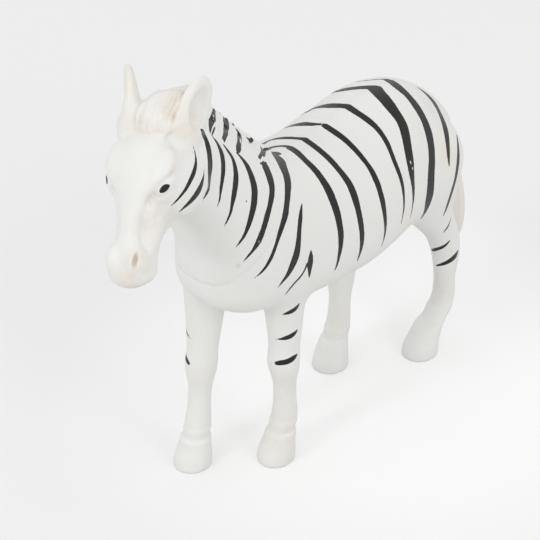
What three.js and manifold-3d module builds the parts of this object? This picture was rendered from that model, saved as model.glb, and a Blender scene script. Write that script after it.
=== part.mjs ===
// A walking toy zebra in moulded soft plastic. Two hollow body halves, each with its two legs, close on the
// middle plane; the head with its neck plugs into the oval opening in front, and the tail into the rump.
// Millimetres, +Z up, +X towards the head, +Y to the animal's left, the four hooves on z = 0.

import * as THREE from "three";
import { mergeVertices } from "three/addons/utils/BufferGeometryUtils.js";
import Module from "manifold-3d";

const wasm = await Module();
wasm.setup();

// Whole animal
const withersHeight = 71;
const trunkLength = 79;
const barrelWidth = 27.6;
const trunkRear = -41.5;
const legThickness = 7.6;

// Fits between the mouldings
const wallThickness = 2.4;
const seamGap = 0.3;
const fitGap = 0.3;
const overrun = 1;

// Mesh fineness, in counts
const trunkSides = 32;
const limbSides = 14;
const stepsPerStation = 2;

// Trunk sections from buttock to breast: place along the trunk, back line, belly line, level of the greatest
// width (shares of the withers height) and half width (share of the barrel width).
const trunkShares = [
  [0.0, 0.74, 0.69, 0.71, 0.04],
  [0.015, 0.775, 0.635, 0.7, 0.155],
  [0.06, 0.82, 0.575, 0.69, 0.24],
  [0.13, 0.882, 0.535, 0.69, 0.325],
  [0.22, 0.945, 0.5, 0.695, 0.415],
  [0.33, 0.972, 0.485, 0.71, 0.48],
  [0.45, 0.973, 0.472, 0.715, 0.5],
  [0.57, 0.964, 0.488, 0.71, 0.49],
  [0.69, 0.97, 0.51, 0.71, 0.46],
  [0.8, 0.97, 0.545, 0.71, 0.425],
  [0.9, 0.9, 0.58, 0.7, 0.355],
  [0.965, 0.84, 0.63, 0.71, 0.275],
  [0.992, 0.8, 0.67, 0.725, 0.18],
  [1.0, 0.77, 0.7, 0.735, 0.05],
];
const trunkSquareness = 2.25;

// Foreleg sections upwards from the sole: height (share of the withers height), forward offset, half length
// and half width (shares of the leg thickness).
const foreLegShares = [
  [0.0, 0.28, 0.54, 0.5],
  [0.03, 0.24, 0.52, 0.49],
  [0.07, 0.13, 0.44, 0.43],
  [0.088, 0.08, 0.43, 0.41],
  [0.1, 0.04, 0.38, 0.35],
  [0.125, -0.04, 0.39, 0.35],
  [0.15, -0.08, 0.37, 0.33],
  [0.2, -0.08, 0.32, 0.3],
  [0.26, -0.06, 0.33, 0.31],
  [0.31, -0.02, 0.41, 0.4],
  [0.345, 0.0, 0.44, 0.43],
  [0.39, -0.02, 0.43, 0.41],
  [0.45, -0.02, 0.47, 0.45],
  [0.52, 0.0, 0.55, 0.5],
  [0.6, 0.02, 0.68, 0.54],
  [0.7, -0.05, 0.84, 0.52],
  [0.78, -0.1, 0.75, 0.42],
  [0.82, -0.1, 0.5, 0.25],
];

// Hind leg sections, on the same terms; the forward offset is scaled by how far the hock is bent.
const hindLegShares = [
  [0.0, 0.06, 0.54, 0.5],
  [0.03, -0.02, 0.52, 0.48],
  [0.065, -0.25, 0.45, 0.43],
  [0.085, -0.42, 0.42, 0.4],
  [0.1, -0.66, 0.38, 0.36],
  [0.13, -0.92, 0.39, 0.34],
  [0.16, -1.05, 0.36, 0.31],
  [0.22, -1.18, 0.34, 0.29],
  [0.29, -1.24, 0.43, 0.35],
  [0.35, -1.18, 0.5, 0.4],
  [0.4, -1.02, 0.56, 0.42],
  [0.46, -0.7, 0.68, 0.48],
  [0.52, -0.43, 0.92, 0.58],
  [0.6, -0.2, 1.4, 0.76],
  [0.68, -0.1, 1.65, 0.82],
  [0.76, 0.0, 1.42, 0.68],
  [0.82, 0.15, 0.9, 0.42],
  [0.85, 0.2, 0.5, 0.22],
];

// Where each leg stands and where it hangs from, in plan (shares of the withers height and of the barrel
// width), and how far its joints are bent.
const legs = {
  left: [
    { stations: foreLegShares, footShares: [0.242, 0.165], hipShares: [0.26, 0.225], bend: 1 },
    { stations: hindLegShares, footShares: [-0.404, 0.232], hipShares: [-0.34, 0.232], bend: 1 },
  ],
  right: [
    { stations: foreLegShares, footShares: [0.431, -0.275], hipShares: [0.3625, -0.225], bend: 0.3 },
    { stations: hindLegShares, footShares: [-0.182, -0.22], hipShares: [-0.215, -0.232], bend: 0.28 },
  ],
};

// Neck sections from inside the trunk to behind the ears: place (shares of the withers height, and of the
// barrel width across), tilt of the neck's axis in degrees, depth to the crest and to the throat, and half
// width, on those shares.
const neckShares = [
  [0.194, 0.0, 0.75, 38, 0.15, 0.17, 0.36],
  [0.306, 0.0, 0.833, 40, 0.176, 0.235, 0.408],
  [0.41, 0.0, 0.924, 44, 0.17, 0.172, 0.385],
  [0.5, 0.007, 1.021, 47, 0.16, 0.117, 0.33],
  [0.576, 0.022, 1.111, 49, 0.147, 0.102, 0.275],
  [0.639, 0.04, 1.194, 50, 0.13, 0.105, 0.239],
  [0.688, 0.051, 1.257, 50, 0.083, 0.083, 0.18],
];
const neckSquareness = 2.2;

// Head, built level in its own frame (x from the back of the skull to the lips), then turned into place:
// place along the head, brow line, jaw line, level of the greatest width (shares of its depth) and half width
// (share of its width).
const headLength = 28;
const headDepth = 15;
const headWidth = 15;
const headPlaceShares = [0.725, 0.058, 1.315];
const headPitch = 50;
const headTurn = 20;
const headShares = [
  [0.0, -0.2, -0.5, -0.36, 0.12],
  [0.03, -0.07, -0.66, -0.33, 0.25],
  [0.1, 0.02, -0.82, -0.3, 0.35],
  [0.2, 0.06, -0.95, -0.24, 0.42],
  [0.3, 0.07, -1.0, -0.2, 0.46],
  [0.4, 0.04, -0.97, -0.24, 0.42],
  [0.51, -0.02, -0.84, -0.32, 0.335],
  [0.64, -0.07, -0.67, -0.36, 0.265],
  [0.77, -0.11, -0.6, -0.38, 0.255],
  [0.87, -0.14, -0.63, -0.4, 0.29],
  [0.94, -0.2, -0.62, -0.42, 0.27],
  [0.985, -0.3, -0.57, -0.43, 0.175],
  [1.0, -0.38, -0.49, -0.44, 0.05],
];
const headSquareness = 2.3;

// Ears: leaves with a cup cut into the outer side, as sections from root to tip (along, half width, half
// thickness).
const earLength = 13;
const earWidth = 8.6;
const earShares = [
  [0.0, 0.16, 0.18],
  [0.15, 0.31, 0.28],
  [0.35, 0.44, 0.25],
  [0.55, 0.48, 0.19],
  [0.75, 0.43, 0.145],
  [0.9, 0.28, 0.105],
  [1.0, 0.06, 0.04],
];
const earPlaceShares = [0.06, 0.3, -0.33];
const earLeanShares = { back: 0.95, out: 0.24, up: 0.14 };
const earFacingShares = { out: 0.94, up: 0.33 };
const earCupShare = 0.78;
const earCupDepth = 1.7;

// Mane: a ridge from the forelock to the withers: place of its foot and height (shares of withers height,
// and of the barrel width across) and half thickness (share of the barrel width).
const maneShares = [
  [0.73, 0.08, 1.325, 0.035, 0.12],
  [0.705, 0.075, 1.33, 0.058, 0.155],
  [0.66, 0.063, 1.318, 0.068, 0.13],
  [0.57, 0.04, 1.268, 0.046, 0.058],
  [0.5, 0.022, 1.215, 0.038, 0.05],
  [0.43, 0.011, 1.15, 0.036, 0.05],
  [0.36, 0.004, 1.078, 0.035, 0.047],
  [0.29, 0, 1.014, 0.029, 0.043],
  [0.24, 0, 0.98, 0.015, 0.03],
];
const maneRoot = 3;
const maneSquareness = 2.6;

// Neck joint: an oval plug behind the seam plane enters the trunk's opening.
const seamFrontShares = [0.53, 0.73];
const seamBackShares = [0.245, 1.0];
const plugLength = 5;
const plugHalfHeight = 8.5;
const plugHalfWidth = 5.5;

// Tail: hangs from a peg in the rump: height (share of the withers height), place behind the rump, half length
// and half width (shares of the tail's thickness).
const tailThickness = 6;
const tailShares = [
  [0.735, -0.3, 0.1, 0.12],
  [0.725, -0.17, 0.26, 0.28],
  [0.69, 0.04, 0.32, 0.32],
  [0.61, 0.32, 0.32, 0.32],
  [0.52, 0.62, 0.38, 0.38],
  [0.4, 0.9, 0.49, 0.48],
  [0.3, 0.98, 0.46, 0.45],
  [0.23, 0.95, 0.26, 0.25],
  [0.2, 0.88, 0.05, 0.05],
];
const tailPegRadius = 1.5;
const tailPegLength = 4;
const tailPegShare = 0.705;

// Locating posts between the halves (along and height, shares of the withers height) with pins on the right
// half and sockets in the left.
const postShares = [
  [-0.3, 0.83],
  [0.03, 0.83],
  [-0.11, 0.585],
];
const postRadius = 2.6;
const pinRadius = 1.3;
const pinLength = 3;

const softWhite = { color: 0xf1f0ec, roughness: 0.42, metalness: 0 };

// Catmull-Rom rows between the rows of a table.
function smoothRows(table, steps) {
  const rows = [];
  const last = table.length - 1;
  for (let i = 0; i < last; i++) {
    const [before, from] = [table[Math.max(i - 1, 0)], table[i]];
    const [to, after] = [table[i + 1], table[Math.min(i + 2, last)]];
    for (let s = 0; s < steps; s++) {
      const t = s / steps;
      rows.push(
        from.map((value, k) => {
          const pull = (to[k] - before[k]) / 2;
          const push = (after[k] - value) / 2;
          const bend = (2 * t ** 3 - 3 * t ** 2 + 1) * value + (3 * t ** 2 - 2 * t ** 3) * to[k];
          return bend + (t ** 3 - 2 * t ** 2 + t) * pull + (t ** 3 - t ** 2) * push;
        }),
      );
    }
  }
  rows.push(table[last]);
  return rows;
}

function squaredOff(share, squareness) {
  return Math.sign(share) * Math.abs(share) ** (2 / squareness);
}

// One closed section: an oval with its own upper and lower depth, squared off when squareness is above 2.
function oval({ centre, side, up, halfWidth, above, below, sides, squareness = 2 }) {
  const ring = [];
  for (let i = 0; i < sides; i++) {
    const angle = (2 * Math.PI * i) / sides;
    const across = squaredOff(Math.cos(angle), squareness) * halfWidth;
    const rise = squaredOff(Math.sin(angle), squareness);
    const point = centre.clone().addScaledVector(side, across);
    ring.push(point.addScaledVector(up, rise * (rise > 0 ? above : below)));
  }
  return ring;
}

// A closed skin over a row of sections, with a fan at each end, faces outward.
function loft(rings) {
  const sides = rings[0].length;
  const points = rings.flat();
  const index = [];
  for (let r = 0; r + 1 < rings.length; r++) {
    for (let i = 0; i < sides; i++) {
      const [a, b] = [r * sides + i, r * sides + ((i + 1) % sides)];
      index.push(a, b, b + sides, a, b + sides, a + sides);
    }
  }
  for (const [ring, start, flip] of [
    [rings[0], 0, true],
    [rings.at(-1), (rings.length - 1) * sides, false],
  ]) {
    const middle = ring.reduce((sum, point) => sum.add(point), new THREE.Vector3()).divideScalar(sides);
    points.push(middle);
    for (let i = 0; i < sides; i++) {
      const [a, b] = [start + i, start + ((i + 1) % sides)];
      index.push(...(flip ? [b, a, points.length - 1] : [a, b, points.length - 1]));
    }
  }
  const geometry = new THREE.BufferGeometry().setFromPoints(points);
  geometry.setIndex(index);
  return turnedOutward(geometry);
}

function turnedOutward(geometry) {
  const [a, b, c] = [new THREE.Vector3(), new THREE.Vector3(), new THREE.Vector3()];
  const { position } = geometry.attributes;
  const { array } = geometry.index;
  let volume = 0;
  for (let i = 0; i < array.length; i += 3) {
    [a, b, c].forEach((corner, k) => corner.fromBufferAttribute(position, array[i + k]));
    volume += a.dot(b.cross(c));
  }
  if (volume < 0) {
    array.reverse();
  }
  return geometry;
}

function solid(geometry) {
  const bare = geometry.clone();
  bare.deleteAttribute("normal");
  bare.deleteAttribute("uv");
  const merged = mergeVertices(bare);
  const mesh = new wasm.Mesh({
    numProp: 3,
    vertProperties: new Float32Array(merged.attributes.position.array),
    triVerts: new Uint32Array(merged.index.array),
  });
  return new wasm.Manifold(mesh);
}

function geometryOf(body) {
  const mesh = body.getMesh();
  const geometry = new THREE.BufferGeometry();
  geometry.setAttribute("position", new THREE.BufferAttribute(mesh.vertProperties, 3));
  geometry.setIndex(new THREE.BufferAttribute(mesh.triVerts, 1));
  geometry.computeVertexNormals();
  return geometry;
}

// A place given as shares of the withers height along and up, and of the barrel width across.
function placeAt(along, across, up) {
  return new THREE.Vector3(along * withersHeight, across * barrelWidth, up * withersHeight);
}

const axisX = new THREE.Vector3(1, 0, 0);
const axisY = new THREE.Vector3(0, 1, 0);
const axisZ = new THREE.Vector3(0, 0, 1);

// A trunk or head: upright sections along x from a table of shares, drawn in by an inset for a hollow.
function bodyLoft({ table, start, length, height, width, squareness, sides, inset = 0 }) {
  const rings = smoothRows(table, stepsPerStation).map(([along, top, bottom, level, half]) => {
    const place = start + inset + along * (length - 2 * inset);
    return oval({
      centre: new THREE.Vector3(place, 0, level * height),
      side: axisY,
      up: axisZ,
      halfWidth: Math.max(half * width - inset, half * wallThickness),
      above: Math.max((top - level) * height - inset, half * wallThickness),
      below: Math.max((level - bottom) * height - inset, half * wallThickness),
      sides,
      squareness,
    });
  });
  return loft(rings);
}

function trunk(inset) {
  return bodyLoft({
    table: trunkShares,
    start: trunkRear,
    length: trunkLength,
    height: withersHeight,
    width: barrelWidth,
    squareness: trunkSquareness,
    sides: trunkSides,
    inset,
  });
}

// A leg: level sections from the flat sole to the hip, leaning from foot to hip.
function leg({ stations, footShares, hipShares, bend }) {
  const hipShare = stations.at(-1)[0];
  const rings = smoothRows(stations, stepsPerStation).map(([rise, forward, halfLength, halfWidth]) => {
    const lean = rise / hipShare;
    const swing = THREE.MathUtils.lerp(footShares[0], hipShares[0], lean);
    const x = swing * withersHeight + forward * bend * legThickness;
    const y = THREE.MathUtils.lerp(footShares[1], hipShares[1], lean) * barrelWidth;
    return oval({
      centre: new THREE.Vector3(x, y, rise * withersHeight),
      side: axisY,
      up: axisX,
      halfWidth: halfWidth * legThickness,
      above: halfLength * legThickness,
      below: halfLength * legThickness,
      sides: limbSides,
    });
  });
  return loft(rings);
}

function neck() {
  const rings = smoothRows(neckShares, stepsPerStation).map(([x, y, z, tilt, crest, throat, half]) => {
    const angle = THREE.MathUtils.degToRad(tilt);
    return oval({
      centre: placeAt(x, y, z),
      side: axisY,
      up: new THREE.Vector3(-Math.sin(angle), 0, Math.cos(angle)),
      halfWidth: half * barrelWidth,
      above: crest * withersHeight,
      below: throat * withersHeight,
      sides: trunkSides,
      squareness: neckSquareness,
    });
  });
  return loft(rings);
}

// The ear's own frame: z along the ear, y across it, x through its thickness towards the cup.
function earLoft(along, width, thickness, shift) {
  const rings = smoothRows(earShares, stepsPerStation).map(([rise, halfWidth, halfThickness]) =>
    oval({
      centre: new THREE.Vector3(shift, 0, rise * along),
      side: axisY,
      up: axisX,
      halfWidth: halfWidth * width,
      above: halfThickness * thickness,
      below: halfThickness * thickness,
      sides: limbSides,
    }),
  );
  return loft(rings);
}

function ear(handSign) {
  const leaf = solid(earLoft(earLength, earWidth, earWidth, 0));
  const cupLength = earLength * earCupShare;
  const cup = earLoft(cupLength, earWidth * earCupShare, earWidth, earWidth / 2 - earCupDepth);
  cup.translate(0, 0, (earLength - cupLength) / 2);
  const cupped = geometryOf(leaf.subtract(solid(cup)));
  const { back, out: splay, up: rise } = earLeanShares;
  const alongEar = new THREE.Vector3(-back, handSign * splay, rise).normalize();
  const facing = new THREE.Vector3(0, handSign * earFacingShares.out, earFacingShares.up);
  const across = new THREE.Vector3().crossVectors(alongEar, facing).normalize();
  const through = new THREE.Vector3().crossVectors(across, alongEar);
  const frame = new THREE.Matrix4().makeBasis(through, across, alongEar);
  const [along, out, up] = earPlaceShares;
  frame.setPosition(along * headLength, handSign * out * headWidth, up * headDepth);
  return cupped.applyMatrix4(frame);
}

function head() {
  const skull = bodyLoft({
    table: headShares,
    start: 0,
    length: headLength,
    height: headDepth,
    width: headWidth,
    squareness: headSquareness,
    sides: trunkSides,
  });
  const turn = new THREE.Matrix4().makeRotationZ(THREE.MathUtils.degToRad(headTurn));
  turn.multiply(new THREE.Matrix4().makeRotationY(THREE.MathUtils.degToRad(headPitch)));
  turn.setPosition(placeAt(...headPlaceShares));
  return [skull, ear(1), ear(-1)]
    .map((geometry) => solid(geometry.applyMatrix4(turn)))
    .reduce((whole, piece) => whole.add(piece));
}

function mane() {
  const rings = smoothRows(maneShares, stepsPerStation).map(([x, y, z, height, half]) =>
    oval({
      centre: placeAt(x, y, z),
      side: axisY,
      up: new THREE.Vector3(-1, 0, 1).normalize(),
      halfWidth: half * barrelWidth,
      above: height * withersHeight,
      below: maneRoot,
      sides: limbSides,
      squareness: maneSquareness,
    }),
  );
  return loft(rings);
}

// The seam's plane leans back from breast to withers; its frame has x up the slope and z out of the trunk.
function seamFrame(shift) {
  const seamFront = placeAt(seamFrontShares[0], 0, seamFrontShares[1]);
  const seamBack = placeAt(seamBackShares[0], 0, seamBackShares[1]);
  const slope = new THREE.Vector3().subVectors(seamFront, seamBack).normalize();
  const out = new THREE.Vector3().crossVectors(slope, axisY).normalize();
  const middle = new THREE.Vector3().addVectors(seamFront, seamBack).multiplyScalar(1 / 2);
  const frame = new THREE.Matrix4().makeBasis(slope, axisY, out);
  return frame.setPosition(middle.addScaledVector(out, shift));
}

// All space on the head's side of the seam plane, moved out by shift.
function beyondSeam(shift) {
  const reach = 2 * withersHeight;
  const block = new THREE.BoxGeometry(reach, reach, reach).translate(0, 0, reach / 2);
  return solid(block.applyMatrix4(seamFrame(shift)));
}

function neckPlug(clearance) {
  const depth = plugLength + clearance;
  const plug = new THREE.CylinderGeometry(1, 1, depth + overrun, trunkSides).rotateX(Math.PI / 2);
  plug.scale(plugHalfHeight + clearance, plugHalfWidth + clearance, 1);
  plug.translate(0, 0, (overrun - depth) / 2);
  return solid(plug.applyMatrix4(seamFrame(0)));
}

function tailPeg(clearance) {
  const length = tailPegLength + 2 * overrun;
  const radius = tailPegRadius + clearance;
  const peg = new THREE.CylinderGeometry(radius, radius, length, limbSides).rotateZ(Math.PI / 2);
  return solid(peg.translate(trunkRear + length / 2 - overrun, 0, tailPegShare * withersHeight));
}

function tail() {
  const rings = smoothRows(tailShares, stepsPerStation).map(([height, behind, halfLength, halfWidth]) =>
    oval({
      centre: new THREE.Vector3(trunkRear - behind * tailThickness, 0, height * withersHeight),
      side: axisY,
      up: axisX,
      halfWidth: halfWidth * tailThickness,
      above: halfLength * tailThickness,
      below: halfLength * tailThickness,
      sides: limbSides,
    }),
  );
  return solid(loft(rings));
}

function post(radius, from, to, [along, height]) {
  const bar = new THREE.CylinderGeometry(radius, radius, to - from, limbSides);
  return solid(bar.translate(along * withersHeight, (from + to) / 2, height * withersHeight));
}

function halfSpace(handSign) {
  const reach = 4 * withersHeight;
  return solid(new THREE.BoxGeometry(reach, reach, reach).translate(0, (handSign * reach) / 2, 0));
}

const wholeNeck = solid(neck());
const outerTrunk = solid(trunk(0));
const allBody = outerTrunk.add(wholeNeck);
const leftLegs = legs.left.map((one) => solid(leg(one)).intersect(halfSpace(1)));
const rightLegs = legs.right.map((one) => solid(leg(one)).intersect(halfSpace(-1)));
const withLegs = [...leftLegs, ...rightLegs].reduce((whole, one) => whole.add(one), allBody);
const cavity = solid(trunk(wallThickness)).subtract(beyondSeam(-wallThickness));
const posts = postShares.map((place) => post(postRadius, -barrelWidth / 2, barrelWidth / 2, place));
const hollow = posts.reduce((whole, one) => whole.add(one.intersect(outerTrunk)), withLegs.subtract(cavity));
const neckSeat = beyondSeam(-seamGap).add(neckPlug(fitGap));
const opened = hollow.subtract(neckSeat).subtract(tailPeg(fitGap));

let leftHalf = opened.intersect(halfSpace(1));
let rightHalf = opened.intersect(halfSpace(-1));
for (const place of postShares) {
  leftHalf = leftHalf.subtract(post(pinRadius + fitGap, -overrun, pinLength + fitGap, place));
  rightHalf = rightHalf.add(post(pinRadius, -overrun, pinLength, place));
}
const foreEnd = allBody.add(head()).add(solid(mane()));
const headAndNeck = foreEnd.intersect(beyondSeam(0)).add(neckPlug(0));
const tailPiece = tail().add(tailPeg(0)).subtract(opened);

const zebra = new THREE.Group();
for (const [name, body] of [
  ["left_body_half", leftHalf],
  ["right_body_half", rightHalf],
  ["head_and_neck", headAndNeck],
  ["tail", tailPiece],
]) {
  const mesh = new THREE.Mesh(geometryOf(body), new THREE.MeshStandardMaterial(softWhite));
  mesh.name = name;
  zebra.add(mesh);
}

const bounds = new THREE.Box3().setFromObject(zebra);
const middle = bounds.getCenter(new THREE.Vector3());
zebra.position.set(-middle.x, -middle.y, -bounds.min.z);

export default zebra;
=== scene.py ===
import math

import bmesh
import bpy
import numpy as np
import openvdb as vdb
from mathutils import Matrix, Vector
from mathutils.bvhtree import BVHTree


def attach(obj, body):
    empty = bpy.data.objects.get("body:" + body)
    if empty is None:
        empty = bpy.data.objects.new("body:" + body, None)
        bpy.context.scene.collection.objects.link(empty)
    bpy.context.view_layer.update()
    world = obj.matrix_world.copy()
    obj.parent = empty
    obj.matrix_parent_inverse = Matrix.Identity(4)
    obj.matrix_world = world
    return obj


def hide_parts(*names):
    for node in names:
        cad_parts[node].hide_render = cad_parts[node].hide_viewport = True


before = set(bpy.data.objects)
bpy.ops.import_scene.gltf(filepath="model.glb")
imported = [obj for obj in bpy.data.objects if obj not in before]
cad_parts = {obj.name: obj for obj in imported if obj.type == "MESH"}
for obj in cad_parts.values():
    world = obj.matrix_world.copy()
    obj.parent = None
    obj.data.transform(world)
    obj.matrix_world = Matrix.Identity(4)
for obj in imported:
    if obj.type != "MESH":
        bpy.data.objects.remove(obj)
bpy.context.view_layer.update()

# The photographer's view: from the animal's front left and well above it, through a long lens.
# All modelling below is in millimetres from the point under the trunk's middle; figure_shift brings
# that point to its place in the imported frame.
metres_per_mm = 0.001
figure_shift = np.array([-7.772, 0.0, 0.0])
view_azimuth = math.radians(38.5)
view_elevation = math.radians(34.7)
view_distance = 540.0
aim_aside = -9.63
aim_height = 33.9
focal_px = 2665.0
image_px = 540
sensor_mm = 36.0
view_right = np.array([-math.sin(view_azimuth), math.cos(view_azimuth), 0.0])
view_back = np.array([
    math.cos(view_azimuth) * math.cos(view_elevation),
    math.sin(view_azimuth) * math.cos(view_elevation),
    math.sin(view_elevation),
])
view_up = np.cross(view_back, view_right)
view_target = aim_aside * view_right + np.array([0.0, 0.0, aim_height])
view_place = view_target + view_distance * view_back

camera = bpy.data.objects.new("camera", bpy.data.cameras.new("camera"))
camera.data.sensor_width = sensor_mm
camera.data.lens = focal_px / image_px * sensor_mm
camera.data.clip_start = 0.05
camera.data.clip_end = 20.0
camera.location = Vector((view_place + figure_shift) * metres_per_mm)
camera.rotation_euler = Vector(view_back).to_track_quat("Z", "Y").to_euler()
bpy.context.scene.collection.objects.link(camera)
bpy.context.scene.camera = camera


def pixel_ray(pixel):
    """Direction in which a point of the photograph is seen."""
    across = (pixel[0] - image_px / 2) / focal_px
    down = (pixel[1] - image_px / 2) / focal_px
    ray = across * view_right - down * view_up - view_back
    return ray / np.linalg.norm(ray)


# The body: two hollow halves of soft vinyl, moulded with their legs on and closed on the middle plane.
# Its form is a row of oval sections for the barrel and for each leg, melted into one skin as the
# mould-maker's wax was.
withers_height = 71.0
trunk_length = 79.0
barrel_width = 27.6
trunk_rear = -41.5
leg_thickness = 7.6
trunk_squareness = 2.25
back_roundness = [(0.3, 2.25), (0.4, 1.95), (0.53, 1.95), (0.64, 2.25)]
section_sides = 72
steps_between = 8

# Rows of the trunk from the rear: share of its length, then top, underside and widest level as shares of
# the withers' height, and half width as a share of the barrel's.
trunk_shares = [
    (0.0, 0.732, 0.69, 0.71, 0.04),
    (0.015, 0.763, 0.635, 0.7, 0.135),
    (0.06, 0.82, 0.575, 0.69, 0.225),
    (0.13, 0.892, 0.535, 0.69, 0.325),
    (0.22, 0.948, 0.5, 0.695, 0.415),
    (0.33, 0.972, 0.485, 0.71, 0.48),
    (0.45, 0.973, 0.472, 0.715, 0.5),
    (0.57, 0.964, 0.488, 0.71, 0.49),
    (0.69, 0.97, 0.51, 0.71, 0.46),
    (0.8, 0.97, 0.545, 0.71, 0.425),
    (0.9, 0.9, 0.58, 0.7, 0.355),
    (0.965, 0.84, 0.63, 0.71, 0.275),
    (0.992, 0.8, 0.67, 0.725, 0.18),
    (1.0, 0.77, 0.7, 0.735, 0.05),
]
# Rows of a leg from the ground: share of the withers' height, then how far it bends forward and its half
# length and half width, as shares of leg_thickness.
fore_leg_shares = [
    (0.0, 0.28, 0.54, 0.5),
    (0.03, 0.24, 0.52, 0.49),
    (0.07, 0.13, 0.44, 0.43),
    (0.088, 0.08, 0.43, 0.41),
    (0.1, 0.04, 0.38, 0.35),
    (0.125, -0.04, 0.39, 0.35),
    (0.15, -0.08, 0.37, 0.33),
    (0.2, -0.08, 0.32, 0.3),
    (0.26, -0.06, 0.33, 0.31),
    (0.31, -0.02, 0.41, 0.4),
    (0.345, 0.0, 0.44, 0.43),
    (0.39, -0.02, 0.43, 0.41),
    (0.45, -0.02, 0.47, 0.45),
    (0.52, 0.0, 0.55, 0.5),
    (0.6, 0.02, 0.68, 0.54),
    (0.7, -0.05, 0.84, 0.52),
    (0.78, -0.1, 0.75, 0.42),
    (0.82, -0.1, 0.5, 0.25),
]
hind_leg_shares = [
    (0.0, 0.06, 0.54, 0.5),
    (0.03, -0.02, 0.52, 0.48),
    (0.065, -0.25, 0.45, 0.43),
    (0.085, -0.42, 0.42, 0.4),
    (0.1, -0.7, 0.37, 0.36),
    (0.13, -0.98, 0.37, 0.34),
    (0.16, -1.12, 0.345, 0.31),
    (0.22, -1.18, 0.34, 0.29),
    (0.29, -1.24, 0.43, 0.35),
    (0.35, -1.18, 0.5, 0.4),
    (0.4, -1.02, 0.56, 0.42),
    (0.46, -0.7, 0.68, 0.48),
    (0.52, -0.43, 0.92, 0.58),
    (0.6, -0.2, 1.4, 0.76),
    (0.68, -0.1, 1.65, 0.82),
    (0.76, 0.0, 1.42, 0.68),
    (0.82, 0.15, 0.9, 0.42),
    (0.85, 0.2, 0.5, 0.22),
]
# Each leg: its rows, where its foot and its hip stand forward and to the left, and how far it bends.
leg_stances = {
    "fore_left": (fore_leg_shares, (0.242, 0.165), (0.26, 0.225), 1.0),
    "hind_left": (hind_leg_shares, (-0.404, 0.232), (-0.34, 0.232), 1.0),
    "fore_right": (fore_leg_shares, (0.431, -0.275), (0.3625, -0.225), 0.3),
    "hind_right": (hind_leg_shares, (-0.182, -0.22), (-0.215, -0.232), 0.28),
}
# Rows of the neck, as shares of the withers' height and, to the side, of the barrel's width: middle
# forward, to the left and up, tilt in degrees, depth above and below the middle, and half width.
neck_shares = [
    (0.194, 0.0, 0.75, 38, 0.15, 0.17, 0.36),
    (0.306, 0.0, 0.833, 40, 0.176, 0.235, 0.408),
    (0.41, 0.0, 0.924, 44, 0.17, 0.172, 0.385),
    (0.5, 0.007, 1.021, 47, 0.16, 0.117, 0.33),
    (0.576, 0.022, 1.111, 49, 0.147, 0.102, 0.275),
    (0.639, 0.04, 1.194, 50, 0.13, 0.105, 0.239),
    (0.688, 0.051, 1.257, 50, 0.083, 0.083, 0.18),
]
neck_squareness = 2.2
x_axis, y_axis, z_axis = np.eye(3)


def smooth_rows(table, steps=steps_between):
    """Catmull-Rom rows between the rows of a table."""
    rows = np.array(table, float)
    ends = np.vstack([rows[:1], rows, rows[-1:]])
    out = []
    for before, here, after, beyond in zip(ends, ends[1:], ends[2:], ends[3:]):
        pull, push = (after - before) / 2, (beyond - here) / 2
        for t in np.arange(steps) / steps:
            out.append(
                (2 * t**3 - 3 * t**2 + 1) * here + (3 * t**2 - 2 * t**3) * after
                + (t**3 - 2 * t**2 + t) * pull + (t**3 - t**2) * push
            )
    out.append(rows[-1])
    return np.array(out)


def oval(centre, side, up, half_width, above, below, squareness=2.0):
    """One closed section with its own depth, and squareness, above and below."""
    angle = np.arange(section_sides) * 2 * math.pi / section_sides
    power = 2 / np.where(np.sin(angle) > 0, *np.broadcast_to(squareness, 2))
    across = np.sign(np.cos(angle)) * np.abs(np.cos(angle)) ** power * half_width
    rise = np.sign(np.sin(angle)) * np.abs(np.sin(angle)) ** power
    rise = rise * np.where(rise > 0, above, below)
    return np.asarray(centre) + across[:, None] * side + rise[:, None] * up


def loft(rings):
    """A closed skin over a row of sections, as points and triangles that face outward."""
    count, sides = len(rings), len(rings[0])
    points = np.vstack([*rings, rings[0].mean(0)[None], rings[-1].mean(0)[None]])
    here = np.arange(sides)
    beside = (here + 1) % sides
    triangles = []
    for row in range(count - 1):
        a, b = row * sides + here, row * sides + beside
        triangles += [np.stack([a, b, b + sides], 1), np.stack([a, b + sides, a + sides], 1)]
    first, last = count * sides, count * sides + 1
    end = (count - 1) * sides
    triangles.append(np.stack([beside, here, np.full(sides, first)], 1))
    triangles.append(np.stack([end + here, end + beside, np.full(sides, last)], 1))
    triangles = np.vstack(triangles)
    corners = points[triangles]
    volume = np.einsum("ij,ij->i", corners[:, 0], np.cross(corners[:, 1], corners[:, 2])).sum()
    return points, triangles if volume > 0 else triangles[:, ::-1]


def trunk_skin():
    rings = []
    for along, top, bottom, level, half in smooth_rows(trunk_shares):
        centre = (trunk_rear + along * trunk_length, 0, level * withers_height)
        above, below = (top - level) * withers_height, (level - bottom) * withers_height
        back = np.interp(along, *zip(*back_roundness))
        rings.append(
            oval(centre, y_axis, z_axis, half * barrel_width, above, below, (back, trunk_squareness))
        )
    return loft(rings)


def leg_course(rise, forward, top, foot, hip, bend):
    """Where the middle of a leg stands, forward and to the left, at shares of the withers' height."""
    lean = rise / top
    x = (foot[0] + (hip[0] - foot[0]) * lean) * withers_height + forward * bend * leg_thickness
    y = (foot[1] + (hip[1] - foot[1]) * lean) * barrel_width
    return x, y


def leg_skin(stations, foot, hip, bend):
    rings = []
    for rise, forward, half_length, half_width in smooth_rows(stations):
        x, y = leg_course(rise, forward, stations[-1][0], foot, hip, bend)
        length = half_length * leg_thickness
        centre = (x, y, rise * withers_height)
        rings.append(oval(centre, y_axis, x_axis, half_width * leg_thickness, length, length))
    return loft(rings)


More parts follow.
